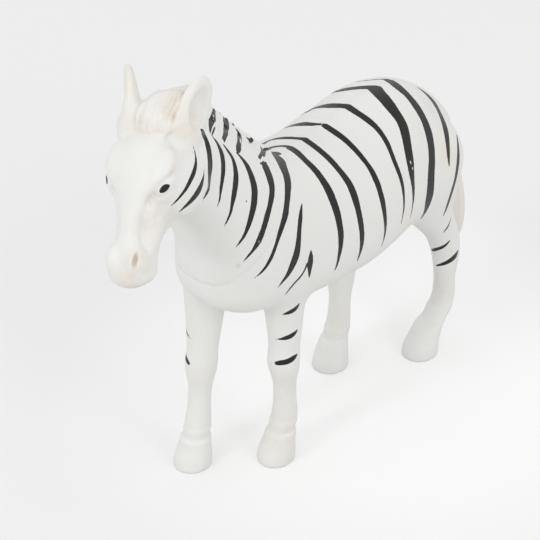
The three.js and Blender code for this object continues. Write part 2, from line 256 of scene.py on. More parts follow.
def neck_skin():
    rings = []
    for x, y, z, tilt, crest, throat, half in smooth_rows(neck_shares):
        angle = math.radians(tilt)
        up = np.array([-math.sin(angle), 0, math.cos(angle)])
        centre = (x * withers_height, y * barrel_width, z * withers_height)
        above, below = crest * withers_height, throat * withers_height
        rings.append(oval(centre, y_axis, up, half * barrel_width, above, below, neck_squareness))
    return loft(rings)


class Block:
    """A block of space sampled on a fine lattice, in which skins are melted together."""

    def __init__(self, low, high, step, reach):
        self.step = step
        self.band = reach / step
        self.origin = np.floor(np.array(low) / step).astype(int)
        self.shape = tuple(np.ceil((np.array(high) - low) / step).astype(int) + 1)
        self.transform = vdb.createLinearTransform(voxelSize=step)

    def field(self, skin):
        """Distance to a skin: negative inside it."""
        points, triangles = skin
        grid = vdb.FloatGrid.createLevelSetFromPolygons(
            points.astype(np.float32),
            triangles=triangles.astype(np.uint32),
            transform=self.transform,
            halfWidth=self.band,
        )
        values = np.empty(self.shape, np.float32)
        grid.copyToArray(values, ijk=tuple(int(i) for i in self.origin))
        return values

    def skin(self, values):
        """The skin where the field is zero, as points and four-sided faces."""
        grid = vdb.FloatGrid(self.band * self.step)
        grid.transform = self.transform
        grid.copyFromArray(values.astype(np.float32), ijk=tuple(int(i) for i in self.origin))
        points, quads = grid.convertToQuads(isovalue=0.0)
        return np.asarray(points, float), np.asarray(quads, int)


def melted(one, other, reach):
    """The union of two fields with a fillet about as wide as reach."""
    near = np.maximum(reach - np.abs(one - other), 0) / reach
    return np.minimum(one, other) - near * near * reach / 4


neck_fillet = 3.4
shoulder_fillet = 2.4
body_block = Block(low=(-50, -15.5, -1.5), high=(44, 15.5, 82), step=0.3, reach=5.0)
body_field = melted(body_block.field(trunk_skin()), body_block.field(neck_skin()), neck_fillet)
for stance in leg_stances.values():
    body_field = melted(body_field, body_block.field(leg_skin(*stance)), shoulder_fillet)


# Head and neck: one solid moulding of soft vinyl, plugged into the body, so that a joint shows round the
# neck's foot. The skull is a row of oval sections melted into the neck; brows, cheeks, lips and ears are
# melted on, as a sculptor adds wax.
head_length = 28.0
head_depth = 15.0
head_width = 15.0
head_place = np.array([0.725 * withers_height, 0.058 * barrel_width, 1.315 * withers_height])
head_pitch = math.radians(50)
head_turn = math.radians(20)
head_squareness = 2.3
lip_slant = 0.6

# Rows of the skull from the poll to the lips: share of its length, then top, underside and widest level
# as shares of its depth, and half width as a share of its width.
head_shares = [
    (0.0, -0.2, -0.5, -0.36, 0.12),
    (0.03, -0.07, -0.66, -0.33, 0.25),
    (0.1, 0.02, -0.82, -0.3, 0.35),
    (0.2, 0.06, -0.95, -0.24, 0.42),
    (0.3, 0.07, -1.0, -0.2, 0.46),
    (0.4, 0.04, -1.0, -0.24, 0.42),
    (0.51, -0.02, -0.94, -0.34, 0.31),
    (0.64, -0.07, -0.73, -0.38, 0.24),
    (0.77, -0.11, -0.63, -0.38, 0.26),
    (0.87, -0.14, -0.63, -0.4, 0.29),
    (0.94, -0.2, -0.62, -0.42, 0.28),
    (0.985, -0.3, -0.57, -0.43, 0.175),
    (1.0, -0.38, -0.49, -0.44, 0.05),
]


def turning(one, other, angle):
    """The matrix that turns one axis towards another, both given by number."""
    matrix = np.eye(3)
    matrix[one, one] = matrix[other, other] = math.cos(angle)
    matrix[other, one] = math.sin(angle)
    matrix[one, other] = -math.sin(angle)
    return matrix


poll_turned = turning(0, 1, head_turn) @ turning(2, 0, head_pitch)

# The face leans over to its right, about a line through the middle of the head.
head_roll = math.radians(17)
head_axle = np.array([0.0, 0.05, -5.0])
head_turned = poll_turned @ turning(1, 2, head_roll)


def from_poll(places):
    """Places given from the poll, where the ears stand: x to the lips, y to the left."""
    return head_place + np.asarray(places, float) @ poll_turned.T


def from_head(places):
    """Places given in the head's own frame: x to the lips, y to its left, z out of the brow."""
    return from_poll(head_axle) + (np.asarray(places, float) - (0, 0, head_axle[2])) @ head_turned.T


def to_head(places):
    return (np.asarray(places, float) - from_poll(head_axle)) @ head_turned + (0, 0, head_axle[2])


def skull_skin():
    rings = []
    for along, top, bottom, level, half in smooth_rows(head_shares):
        centre = (along * head_length, 0, level * head_depth)
        above, below = (top - level) * head_depth, (level - bottom) * head_depth
        ring = oval(centre, y_axis, z_axis, half * head_width, above, below, head_squareness)
        ring[:, 0] += lip_slant * along**5 * (ring[:, 2] - centre[2])
        rings.append(ring)
    points, triangles = loft(rings)
    return from_head(points), triangles


# Ears: part of the head's moulding. Each is a thick leaf that lies back and a little outward, hollowed on
# its outer side; its rows give a share of its length, its half width and its half thickness.
ear_length = 13.0
ear_width = 8.6
ear_place = np.array([0.06 * head_length, 0.3 * head_width, -0.33 * head_depth])
ear_line = np.array([-0.95, 0.0, 0.14])
ear_leans = {1: 0.19, -1: 0.24}
ear_facing = np.array([0.0, 0.94, 0.33])
cup_rise = 0.6
cup_shift = 2.25
cup_radii = (2.3, 2.9, 4.3)
cup_edge = 0.5
ear_shares = [
    (0.0, 0.27, 0.32),
    (0.15, 0.39, 0.33),
    (0.35, 0.45, 0.27),
    (0.55, 0.46, 0.2),
    (0.75, 0.42, 0.15),
    (0.9, 0.32, 0.105),
    (0.98, 0.15, 0.06),
    (1.0, 0.04, 0.03),
]


def ear_axes(hand):
    """Axes of the left (1) or right (-1) ear, from the poll: out of its hollow, across it and up it."""
    along = ear_line + (0, hand * ear_leans[hand], 0)
    along /= np.linalg.norm(along)
    across = np.cross(along, ear_facing * (1, hand, 1))
    across /= np.linalg.norm(across)
    return np.cross(across, along), across, along


def ear_skin(hand):
    through, across, along = ear_axes(hand)
    place = ear_place * (1, hand, 1)
    rings = []
    for rise, half_width, half_thick in smooth_rows(ear_shares):
        thick = half_thick * ear_width
        centre = place + rise * ear_length * along
        rings.append(oval(centre, across, through, half_width * ear_width, thick, thick))
    points, triangles = loft(rings)
    return from_poll(points), triangles


head_block = Block(low=(14, -15.5, 44), high=(69, 15.5, 102), step=0.25, reach=4.5)


def lump(block, values, centre, radii, axes, reach, carve=False):
    """Melts a rounded lump into a field, or carves it out; the lump's axes are rows."""
    centre, radii = np.asarray(centre, float), np.asarray(radii, float)
    span = radii.max() + reach + block.step
    first = np.floor((centre - span) / block.step).astype(int) - block.origin
    last = np.ceil((centre + span) / block.step).astype(int) - block.origin + 1
    first, last = np.maximum(first, 0), np.minimum(last, block.shape)
    cut = tuple(slice(a, b) for a, b in zip(first, last))
    lines = [
        (block.origin[k] + np.arange(first[k], last[k])) * block.step - centre[k] for k in range(3)
    ]
    grid = np.stack(np.meshgrid(*lines, indexing="ij"), -1) @ np.asarray(axes, float).T
    share = np.linalg.norm(grid / radii, axis=-1)
    steep = np.linalg.norm(grid / radii**2, axis=-1) + 1e-9
    distance = share * (share - 1) / steep
    if carve:
        values[cut] = -melted(-values[cut], distance, reach)
    else:
        values[cut] = melted(values[cut], distance, reach)


skull_fillet = 2.2
ear_fillet = 1.5
head_field = melted(head_block.field(trunk_skin()), head_block.field(neck_skin()), neck_fillet)
head_field = melted(head_field, head_block.field(skull_skin()), skull_fillet)
head_axes = head_turned.T

# Face: brows over the eyes, cheeks, lips and the flared rims of the nostrils, as middles, radii and
# the reach of the blend.
face_lumps = [
    (7.0, 5.2, -1.6, 3.6, 1.9, 1.8, 1.6),
    (11.0, 4.9, -2.2, 1.7, 1.2, 1.5, 1.0),
    (8.0, 5.2, -9.0, 5.6, 2.6, 5.4, 2.5),
    (23.6, 2.5, -3.4, 2.6, 1.5, 1.9, 1.2),
    (15.8, 3.6, -5.6, 5.0, 1.2, 1.5, 1.5),
]

for hand in (1, -1):
    for x, y, z, long, wide, deep, reach in face_lumps:
        lump(head_block, head_field, from_head((x, hand * y, z)), (long, wide, deep), head_axes, reach)

for hand in (1, -1):
    through, across, along = ear_axes(hand)
    ear_field = head_block.field(ear_skin(hand))
    cup = ear_place * (1, hand, 1) + along * cup_rise * ear_length + through * cup_shift
    axes = np.stack([through, across, along]) @ poll_turned.T
    lump(head_block, ear_field, from_poll(cup), cup_radii, axes, cup_edge, carve=True)
    head_field = melted(head_field, ear_field, ear_fillet)

# Mane and forelock: part of the same moulding, combed upright in the wax and swept over the brow.
# A ridge and a pad carry the locks. Each lock is a tapering tube, swept along its guide by nodes.
# Rows of the ridge from the brow to the withers, in the same shares as the neck's: its foot forward, to
# the left and up, its height, half width and depth of root.
mane_shares = [
    (0.735, 0.03, 1.272, 0.0, 0.04, 0.0),
    (0.715, 0.03, 1.3, 0.018, 0.12, 0.006),
    (0.69, 0.03, 1.318, 0.058, 0.155, 0.02),
    (0.66, 0.045, 1.318, 0.068, 0.13, 0.035),
    (0.615, 0.052, 1.295, 0.082, 0.075, 0.042),
    (0.57, 0.04, 1.268, 0.066, 0.056, 0.042),
    (0.5, 0.022, 1.215, 0.042, 0.05, 0.042),
    (0.43, 0.011, 1.15, 0.036, 0.05, 0.042),
    (0.36, 0.004, 1.078, 0.035, 0.047, 0.042),
    (0.29, 0, 1.014, 0.029, 0.043, 0.042),
    (0.24, 0, 0.98, 0.015, 0.03, 0.042),
]
mane_squareness = 2.6
mane_up = np.array([-1.0, 0, 1.0]) / math.sqrt(2)


def mane_skin():
    rings = []
    for x, y, z, height, half, root in smooth_rows(mane_shares):
        centre = (x * withers_height, y * barrel_width, z * withers_height)
        above, below = height * withers_height, root * withers_height
        rings.append(oval(centre, y_axis, mane_up, half * barrel_width, above, below, mane_squareness))
    return loft(rings)


class Skin:
    """Finds places on one or more skins."""

    def __init__(self, *skins):
        self.trees = [BVHTree.FromPolygons(p.tolist(), f.tolist()) for p, f in skins]

    def cast(self, place, direction):
        """The first place that a ray meets, or None."""
        hits = [tree.ray_cast(Vector(place), Vector(direction)) for tree in self.trees]
        hits = [hit for hit in hits if hit[0] is not None]
        return np.array(min(hits, key=lambda hit: hit[3])[0]) if hits else None

    def seen(self, pixel):
        """The place seen at a pixel of the photograph, or None beside the object."""
        return self.cast(view_place, pixel_ray(pixel))

    def near(self, place):
        """The nearest place on the skins."""
        found = [tree.find_nearest(Vector(place)) for tree in self.trees]
        return np.array(min(found, key=lambda hit: hit[3])[0])

    def met(self, pixel, reach=view_distance):
        """The place seen at a pixel or, beside the object, the nearest one to its ray's end at a reach."""
        place = self.seen(pixel)
        return self.near(view_place + reach * pixel_ray(pixel)) if place is None else place


mane_fillet = 1.3
pad_place = (-1.8, 0.1, -2.7)
pad_radii = (3.6, 3.7, 2.4)
pad_fillet = 1.6
head_field = melted(head_field, head_block.field(mane_skin()), mane_fillet)
lump(head_block, head_field, from_poll(pad_place), pad_radii, poll_turned.T, pad_fillet)
bald_head = Skin(head_block.skin(head_field))

lock_radius = 0.46
lock_sides = 10
lock_spacing = 0.8
lock_length = 6.4
lock_lean = -0.1
lock_sink = 0.42
lock_taper = [0.25, 0.7, 0.95, 1.0, 0.95, 0.75, 0.3]
crest_from_row = 3
mane_first = 0.3
mane_last = 0.6
place_spread = 0.12
tip_spread = 0.3
lean_spread = 0.07
length_spread = (0.85, 1.1)

# A lock lies on the ridge where the ridge's side is found between these distances from its middle. Its
# tip, and the rest of it elsewhere, runs inside the ridge.
ridge_sides = (0.2, 3.4)
inside_ridge = 0.35
clear_of_mane = 12
rng = np.random.default_rng(11)


def length_along(places):
    """Distances along a line at its points."""
    return np.r_[0, np.cumsum(np.linalg.norm(np.diff(places, axis=0), axis=1))]


def place_along(distance, run, line):
    """The place at a distance along a line, whose points lie at the distances in run."""
    return np.array([np.interp(distance, run, line[:, k]) for k in range(3)])


def mane_guides(hand):
    """Guide lines of the upright locks on one side of the mane, each with its thickness share."""
    rows = smooth_rows(mane_shares)[crest_from_row * steps_between :]
    feet = rows[:, :3] * (withers_height, barrel_width, withers_height)
    crest = feet + (rows[:, 3] * withers_height)[:, None] * mane_up
    run = length_along(crest)
    guides = []
    for along in np.arange(mane_first, run[-1] - mane_last, lock_spacing):
        tip = place_along(along + rng.uniform(-place_spread, place_spread), run, crest)
        tip = tip + mane_up * rng.uniform(0.0, tip_spread)
        lean = np.array([lock_lean + rng.uniform(-lean_spread, lean_spread), 0, 1.0])
        length = lock_length * rng.uniform(*length_spread)
        guide = []
        for share, thick in zip(np.linspace(0, 1, len(lock_taper)), lock_taper):
            spot = tip - lean * length * (1 - share)
            middle = spot[1]
            met = bald_head.cast((spot[0], middle + hand * clear_of_mane, spot[2]), (0, -hand, 0))
            aside = 0 if met is None else hand * (met[1] - middle)
            if ridge_sides[0] < aside < ridge_sides[1] and share < 1:
                spot[1] = met[1] - hand * lock_sink * lock_radius * thick
            else:
                spot[1] = middle + hand * inside_ridge
            guide.append([*spot, thick])
        guides.append(smooth_rows(guide, steps=3))
    return guides


# The forelock's locks lie between three lines seen in the photograph, and start behind the poll.
forelock_lines = np.array([
    [(143.5, 104), (140, 111), (138, 118), (136.5, 127)],
    [(163, 93), (160, 104), (157, 115), (153, 128)],
    [(182, 92), (177, 103), (171.5, 114), (167.5, 127)],
], float)
forelock_locks = 10
forelock_radius = 0.52
forelock_taper = (0.95, 1.0, 0.95, 0.35)
forelock_steps = 4
sway_px = 0.7
tip_sway = 2.2
slip_px = (0.4, 0.8, 1.2, 2.6)
root_places = np.array([(-6.0, 1.5, -6.5), (-7.0, 1.2, -4.6)])
root_taper = (0.6, 0.9)
root_width = 5.0


def forelock_guides():
    """Guide lines of the forelock's locks, each with its thickness share."""
    guides = []
    for share in np.linspace(0, 1, forelock_locks):
        low = min(int(share * 2), 1)
        pixels = forelock_lines[low] + (forelock_lines[low + 1] - forelock_lines[low]) * (share * 2 - low)
        sway = rng.uniform(-sway_px, sway_px, len(pixels))
        sway[-1] *= tip_sway
        pixels = pixels + np.stack([sway, rng.uniform(-1, 1, len(pixels)) * slip_px], 1)
        roots = from_poll(root_places + (0, root_width * (share - 0.5), 0))
        rows = [[*root, thick] for root, thick in zip(roots, root_taper)]
        for pixel, thick in zip(pixels, forelock_taper):
            rows.append([*bald_head.seen(pixel), thick])
        guides.append(smooth_rows(rows, steps=forelock_steps))
    return guides


# The nodes sweep a round section along each guide line, as thick as the guide's taper and chance make it.
locks_tree = bpy.data.node_groups.new("combed_locks", "GeometryNodeTree")
lock_inputs = {}
for name, kind in [
    ("Guides", "Geometry"),
    ("Lock radius", "Float"),
    ("Radius spread", "Float"),
    ("Sides", "Int"),
    ("Seed", "Int"),
    ("Material", "Material"),
]:
    entry = locks_tree.interface.new_socket(name=name, in_out="INPUT", socket_type="NodeSocket" + kind)
    lock_inputs[name] = entry.identifier
locks_tree.interface.new_socket(name="Locks", in_out="OUTPUT", socket_type="NodeSocketGeometry")


def linked(tree, kind, inputs, **settings):
    """A node with its settings, and its inputs set or linked."""
    node = tree.nodes.new(kind)
    for name, value in settings.items():
        setattr(node, name, value)
    for key, value in inputs.items():
        if isinstance(value, bpy.types.NodeSocket):
            tree.links.new(value, node.inputs[key])
        else:
            node.inputs[key].default_value = value
    return node


given = locks_tree.nodes.new("NodeGroupInput").outputs
curves = linked(locks_tree, "GeometryNodeMeshToCurve", {"Mesh": given["Guides"]})
taper = linked(locks_tree, "GeometryNodeInputNamedAttribute", {"Name": "taper"}, data_type="FLOAT")
whose = linked(locks_tree, "GeometryNodeCurveOfPoint", {})
least = linked(locks_tree, "ShaderNodeMath", {0: 1.0, 1: given["Radius spread"]}, operation="SUBTRACT")
most = linked(locks_tree, "ShaderNodeMath", {0: 1.0, 1: given["Radius spread"]}, operation="ADD")
chance = linked(
    locks_tree,
    "FunctionNodeRandomValue",
    {
        2: least.outputs[0],
        3: most.outputs[0],
        "ID": whose.outputs["Curve Index"],
        "Seed": given["Seed"],
    },
    data_type="FLOAT",
)
sized = linked(
    locks_tree,
    "ShaderNodeMath",
    {0: taper.outputs["Attribute"], 1: chance.outputs[1]},
    operation="MULTIPLY",
)
profile = linked(
    locks_tree,
    "GeometryNodeCurvePrimitiveCircle",
    {"Resolution": given["Sides"], "Radius": given["Lock radius"]},
)
swept = linked(
    locks_tree,
    "GeometryNodeCurveToMesh",
    {
        "Curve": curves.outputs[0],
        "Profile Curve": profile.outputs[0],
        "Scale": sized.outputs[0],
        "Fill Caps": True,
    },
)
whole = linked(locks_tree, "GeometryNodeRealizeInstances", {"Geometry": swept.outputs[0]})
coated = linked(
    locks_tree, "GeometryNodeSetMaterial", {"Geometry": whole.outputs[0], "Material": given["Material"]}
)
linked(locks_tree, "NodeGroupOutput", {0: coated.outputs[0]})


def combed(guides, radius, spread, seed):
    """Sweeps locks along guide lines with the nodes, and gives their skin."""
    rows = np.vstack(guides)
    lengths = [len(guide) for guide in guides]
    firsts = np.r_[0, np.cumsum(lengths)[:-1]]
    edges = [(first + k, first + k + 1) for first, n in zip(firsts, lengths) for k in range(n - 1)]
    mesh = bpy.data.meshes.new("guides")
    mesh.from_pydata(rows[:, :3].tolist(), [tuple(map(int, edge)) for edge in edges], [])
    mesh.attributes.new("taper", "FLOAT", "POINT").data.foreach_set("value", rows[:, 3])
    holder = bpy.data.objects.new("guides", mesh)
    bpy.context.scene.collection.objects.link(holder)
    modifier = holder.modifiers.new("combed_locks", "NODES")
    modifier.node_group = locks_tree
    sizes = {"Lock radius": radius, "Radius spread": spread, "Sides": lock_sides, "Seed": seed}
    for name, value in sizes.items():
        modifier[lock_inputs[name]] = value
    graph = bpy.context.evaluated_depsgraph_get()
    swept_mesh = bpy.data.meshes.new_from_object(holder.evaluated_get(graph))
    swept_mesh.calc_loop_triangles()
    points = np.empty(len(swept_mesh.vertices) * 3)
    swept_mesh.vertices.foreach_get("co", points)
    triangles = np.empty(len(swept_mesh.loop_triangles) * 3, int)
    swept_mesh.loop_triangles.foreach_get("vertices", triangles)
    holder.modifiers.remove(modifier)
    bpy.data.objects.remove(holder)
    bpy.data.meshes.remove(mesh)
    bpy.data.meshes.remove(swept_mesh)
    return points.reshape(-1, 3), triangles.reshape(-1, 3)


mane_lock_fillet = 0.2
forelock_fillet = 0.12
mane_locks = combed(mane_guides(1) + mane_guides(-1), lock_radius, spread=0.18, seed=5)
forelock_rows = forelock_guides()
forelock = combed(forelock_rows, forelock_radius, spread=0.22, seed=9)
head_field = melted(head_field, head_block.field(mane_locks), mane_lock_fillet)
head_field = melted(head_field, head_block.field(forelock), forelock_fillet)

# Nostrils: short slits pressed into the muzzle's vinyl, tinted brown in and round them as painted shade.
# The far one mirrors the one in the photograph, a little further out and lower.
nostril_pixel = (134, 260.3)
nostril_sink = 0.15
far_nostril_shift = (0, 0.5, 0.9)
nostril_radii = np.array([1.2, 0.36, 0.65])
nostril_edge = 0.35
nostril_place = to_head(bald_head.seen(nostril_pixel)) - (0, 0, nostril_sink)
nostril_places = [nostril_place, nostril_place * (1, -1, 1) - far_nostril_shift]
for place in nostril_places:
    lump(head_block, head_field, from_head(place), nostril_radii, head_axes, nostril_edge, carve=True)

head_points, head_quads = head_block.skin(head_field)
body_points, body_quads = body_block.skin(body_field)
whole_skin = Skin((head_points, head_quads), (body_points, body_quads))

# Relief of the vinyl: creases pressed into the face, rings over the hooves and the closed joints of the
# mould. A crease is a line of the photograph, with its depth (a ridge where negative) and its width in
# millimetres, and is repeated on the far side of the face.
crease_spread = 3
blunt_span = 2.5


def into_line(points, line, halves, reach, blunt=False):
    """How deep points lie inside a tapering line: positive in it, never under -reach."""
    margin = halves.max() + reach
    close = np.all((points > line.min(0) - margin) & (points < line.max(0) + margin), axis=1)
    near = points[close]
    best = np.full(len(near), -reach)
    for number, (start, end) in enumerate(zip(line, line[1:])):
        run = end - start
        share = np.clip((near - start) @ run / (run @ run), 0, 1)
        gap = np.linalg.norm(near - start - share[:, None] * run, axis=1)
        depth = halves[number] + (halves[number + 1] - halves[number]) * share - gap
        best = np.maximum(best, depth)
    if blunt:
        away = near - line[0]
        ahead = away @ (line[1] - line[0]) / np.linalg.norm(line[1] - line[0])
        by_end = np.linalg.norm(away, axis=1) < blunt_span * halves[0]
        best = np.where(by_end, np.minimum(best, ahead), best)
    out = np.full(len(points), -float(reach))
    out[close] = best
    return out


def mirrored_head(line):
    """A line of the face carried to the other side of the head."""
    return np.array([whole_skin.near(place) for place in from_head(to_head(line) * (1, -1, 1))])


def seen_line(pixels):
    return np.array([whole_skin.seen(pixel) for pixel in smooth_rows(pixels, steps=3)])


face_creases = [
    ([(173, 176), (167, 180), (161, 184.5), (156, 189.5), (152, 196), (148.5, 205)], 0.5, 0.6),
    ([(154, 195.5), (159, 198), (165, 196.5), (169.5, 191.5)], 0.2, 0.42),
    ([(150, 200), (146.5, 211), (144, 222), (143, 234), (145.5, 246)], 0.6, 1.15),
    ([(153, 208), (151.5, 220), (150, 232), (150, 242)], -0.3, 0.7),
    ([(182, 137), (186, 150), (184, 162), (179, 172)], 0.12, 1.2),
    ([(137, 268), (143, 273), (150, 272)], 0.12, 0.7),
]


def normals_of(points, quads):
    """Outward normals at the points of a skin."""
    corners = points[quads]
    faces = np.cross(corners[:, 2] - corners[:, 0], corners[:, 3] - corners[:, 1])
    normals = np.zeros_like(points)
    for k in range(4):
        np.add.at(normals, quads[:, k], faces)
    return normals / (np.linalg.norm(normals, axis=1)[:, None] + 1e-12)


def dent(distance, depth, width):
    """Relief of a soft groove at some distance from its middle."""
    return -depth * np.exp(-((distance / width) ** 2))


seam_front = np.array([0.53 * withers_height, 0.0, 0.73 * withers_height])
seam_back = np.array([0.245 * withers_height, 0.0, 1.0 * withers_height])
seam_length = np.linalg.norm(seam_front - seam_back)
seam_slope = (seam_front - seam_back) / seam_length
seam_out = np.cross(seam_slope, y_axis)
seam_depth = 0.17
seam_width = 0.34
seam_least = 0.3
seam_fade = 8


def seam_dent(points):
    """The neck's joint: a fine groove at the chest that closes towards the withers."""
    share = np.clip((points - seam_front) @ -seam_slope / seam_length, 0, 1)
    open_share = seam_least + (1 - seam_least) * np.exp(-seam_fade * share)
    return dent((points - seam_front) @ seam_out, seam_depth * open_share, seam_width)


head_normals = normals_of(head_points, head_quads)
head_relief = seam_dent(head_points)
for pixels, depth, width in face_creases:
    line = seen_line(pixels)
    reach = crease_spread * width
    for one in (line, mirrored_head(line)):
        distance = -into_line(head_points, one, np.zeros(len(one)), reach)
        head_relief = head_relief + dent(distance, depth, width) - dent(reach, depth, width)

# The mould's joint runs round the body in its middle plane, and was cleaned off most of the back. The
# rings of the hooves are a height, a depth and a width.
mould_line_depth = 0.07
mould_line_width = 0.16
mould_line_lost = 0.8
back_slope = 4
hoof_rings = [(7.0, 0.12, 0.35), (8.5, -0.08, 0.5), (9.6, 0.07, 0.35), (3.4, 0.03, 0.3), (4.6, 0.03, 0.3)]
body_normals = normals_of(body_points, body_quads)
on_back = np.clip(body_normals[:, 2] * back_slope, 0, 1)
mould_line = dent(body_points[:, 1], mould_line_depth, mould_line_width)
body_relief = seam_dent(body_points) + (1 - mould_line_lost * on_back) * mould_line
for height, depth, width in hoof_rings:
    body_relief = body_relief + dent(body_points[:, 2] - height, depth, width)

# Stripes: black gloss paint, brushed on by hand over the moulding, one side after the other. Each row
# is a place in the photograph and the stripe's width there; the unseen side repeats the seen one.
# The mane's patches are outlines in the photograph, and the bare marks are where paint has rubbed off.
px_per_mm = focal_px / view_distance
neck_stripes = {
    "n1": [
        (192.7, 144.1, 0.3), (194.9, 151.8, 0.9), (196, 159.5, 1.9), (195.3, 167.2, 3.3),
        (193.1, 174.5, 4.1), (189.9, 181.4, 3.6), (186.2, 188.4, 3.2), (181.6, 194.9, 2.4),
        (176.3, 200.9, 1.7), (170.4, 206.5, 0.5),
    ],
    "n2": [
        (204, 168, 0.3), (203.7, 175.6, 1.2), (202, 182.9, 3), (199.2, 189.9, 4.4), (195, 196.2, 4.3),
        (189.9, 202, 3.5), (184.3, 207.3, 2.1), (178.6, 212.5, 0.4),
    ],
    "n3": [
        (201.5, 130.1, 1.8), (205.1, 137.6, 3.1), (207.7, 145.4, 4.6), (209.3, 153.5, 4.6),
        (210, 161.7, 4.7), (210, 169.9, 4.5), (209.5, 178.2, 3.6), (208.7, 186.3, 2.5),
        (206.4, 194, 1.8), (202, 201, 0.4),
    ],
    "n4": [
        (212, 136, 0.4), (216.6, 142.2, 1.6), (220, 149.1, 2.9), (222.3, 156.5, 4), (223.2, 164, 4.1),
        (223.2, 171.5, 4.1), (222.4, 179, 3.7), (221.3, 186.6, 3.1), (220.4, 194.1, 2.1),
        (219.1, 201.6, 1.4), (216.2, 208.7, 0.3),
    ],
    "n5": [
        (223, 144, 0.6), (227.8, 150.7, 1.7), (232.2, 157.6, 2.3), (234.7, 165.5, 3.6),
        (235.8, 173.4, 4.7), (235.8, 181.4, 5.3), (234.9, 189.4, 5.1), (233.6, 197.4, 4.6),
        (232.1, 205.3, 3.1), (230.4, 213.1, 2.4), (227.3, 220.6, 1.8), (223.3, 227.6, 0.4),
    ],
    "n6": [
        (236.5, 152.5, 1), (240, 156.3, 1.6), (243.2, 160.1, 2.3), (247.5, 166.8, 3.9),
        (250.6, 174.1, 4.7), (253, 181.6, 5.4), (254.5, 189.3, 6.1), (254.5, 197, 6.1),
        (253.8, 204.9, 6), (252.2, 212.6, 5.5), (250.2, 220.2, 4.8), (247.8, 227.6, 4.1),
        (244.7, 234.8, 3.1), (240.5, 241.5, 2.1), (235.6, 247.7, 0.4),
    ],
}
stripe_tops = [
    [(260.3, 163.6, 1.8), (263.2, 163.2, 2.6), (266.2, 162.6, 1.8)],
    [(271.9, 152.9, 1.8), (275.6, 153.2, 2.8), (279.4, 153, 2)],
]
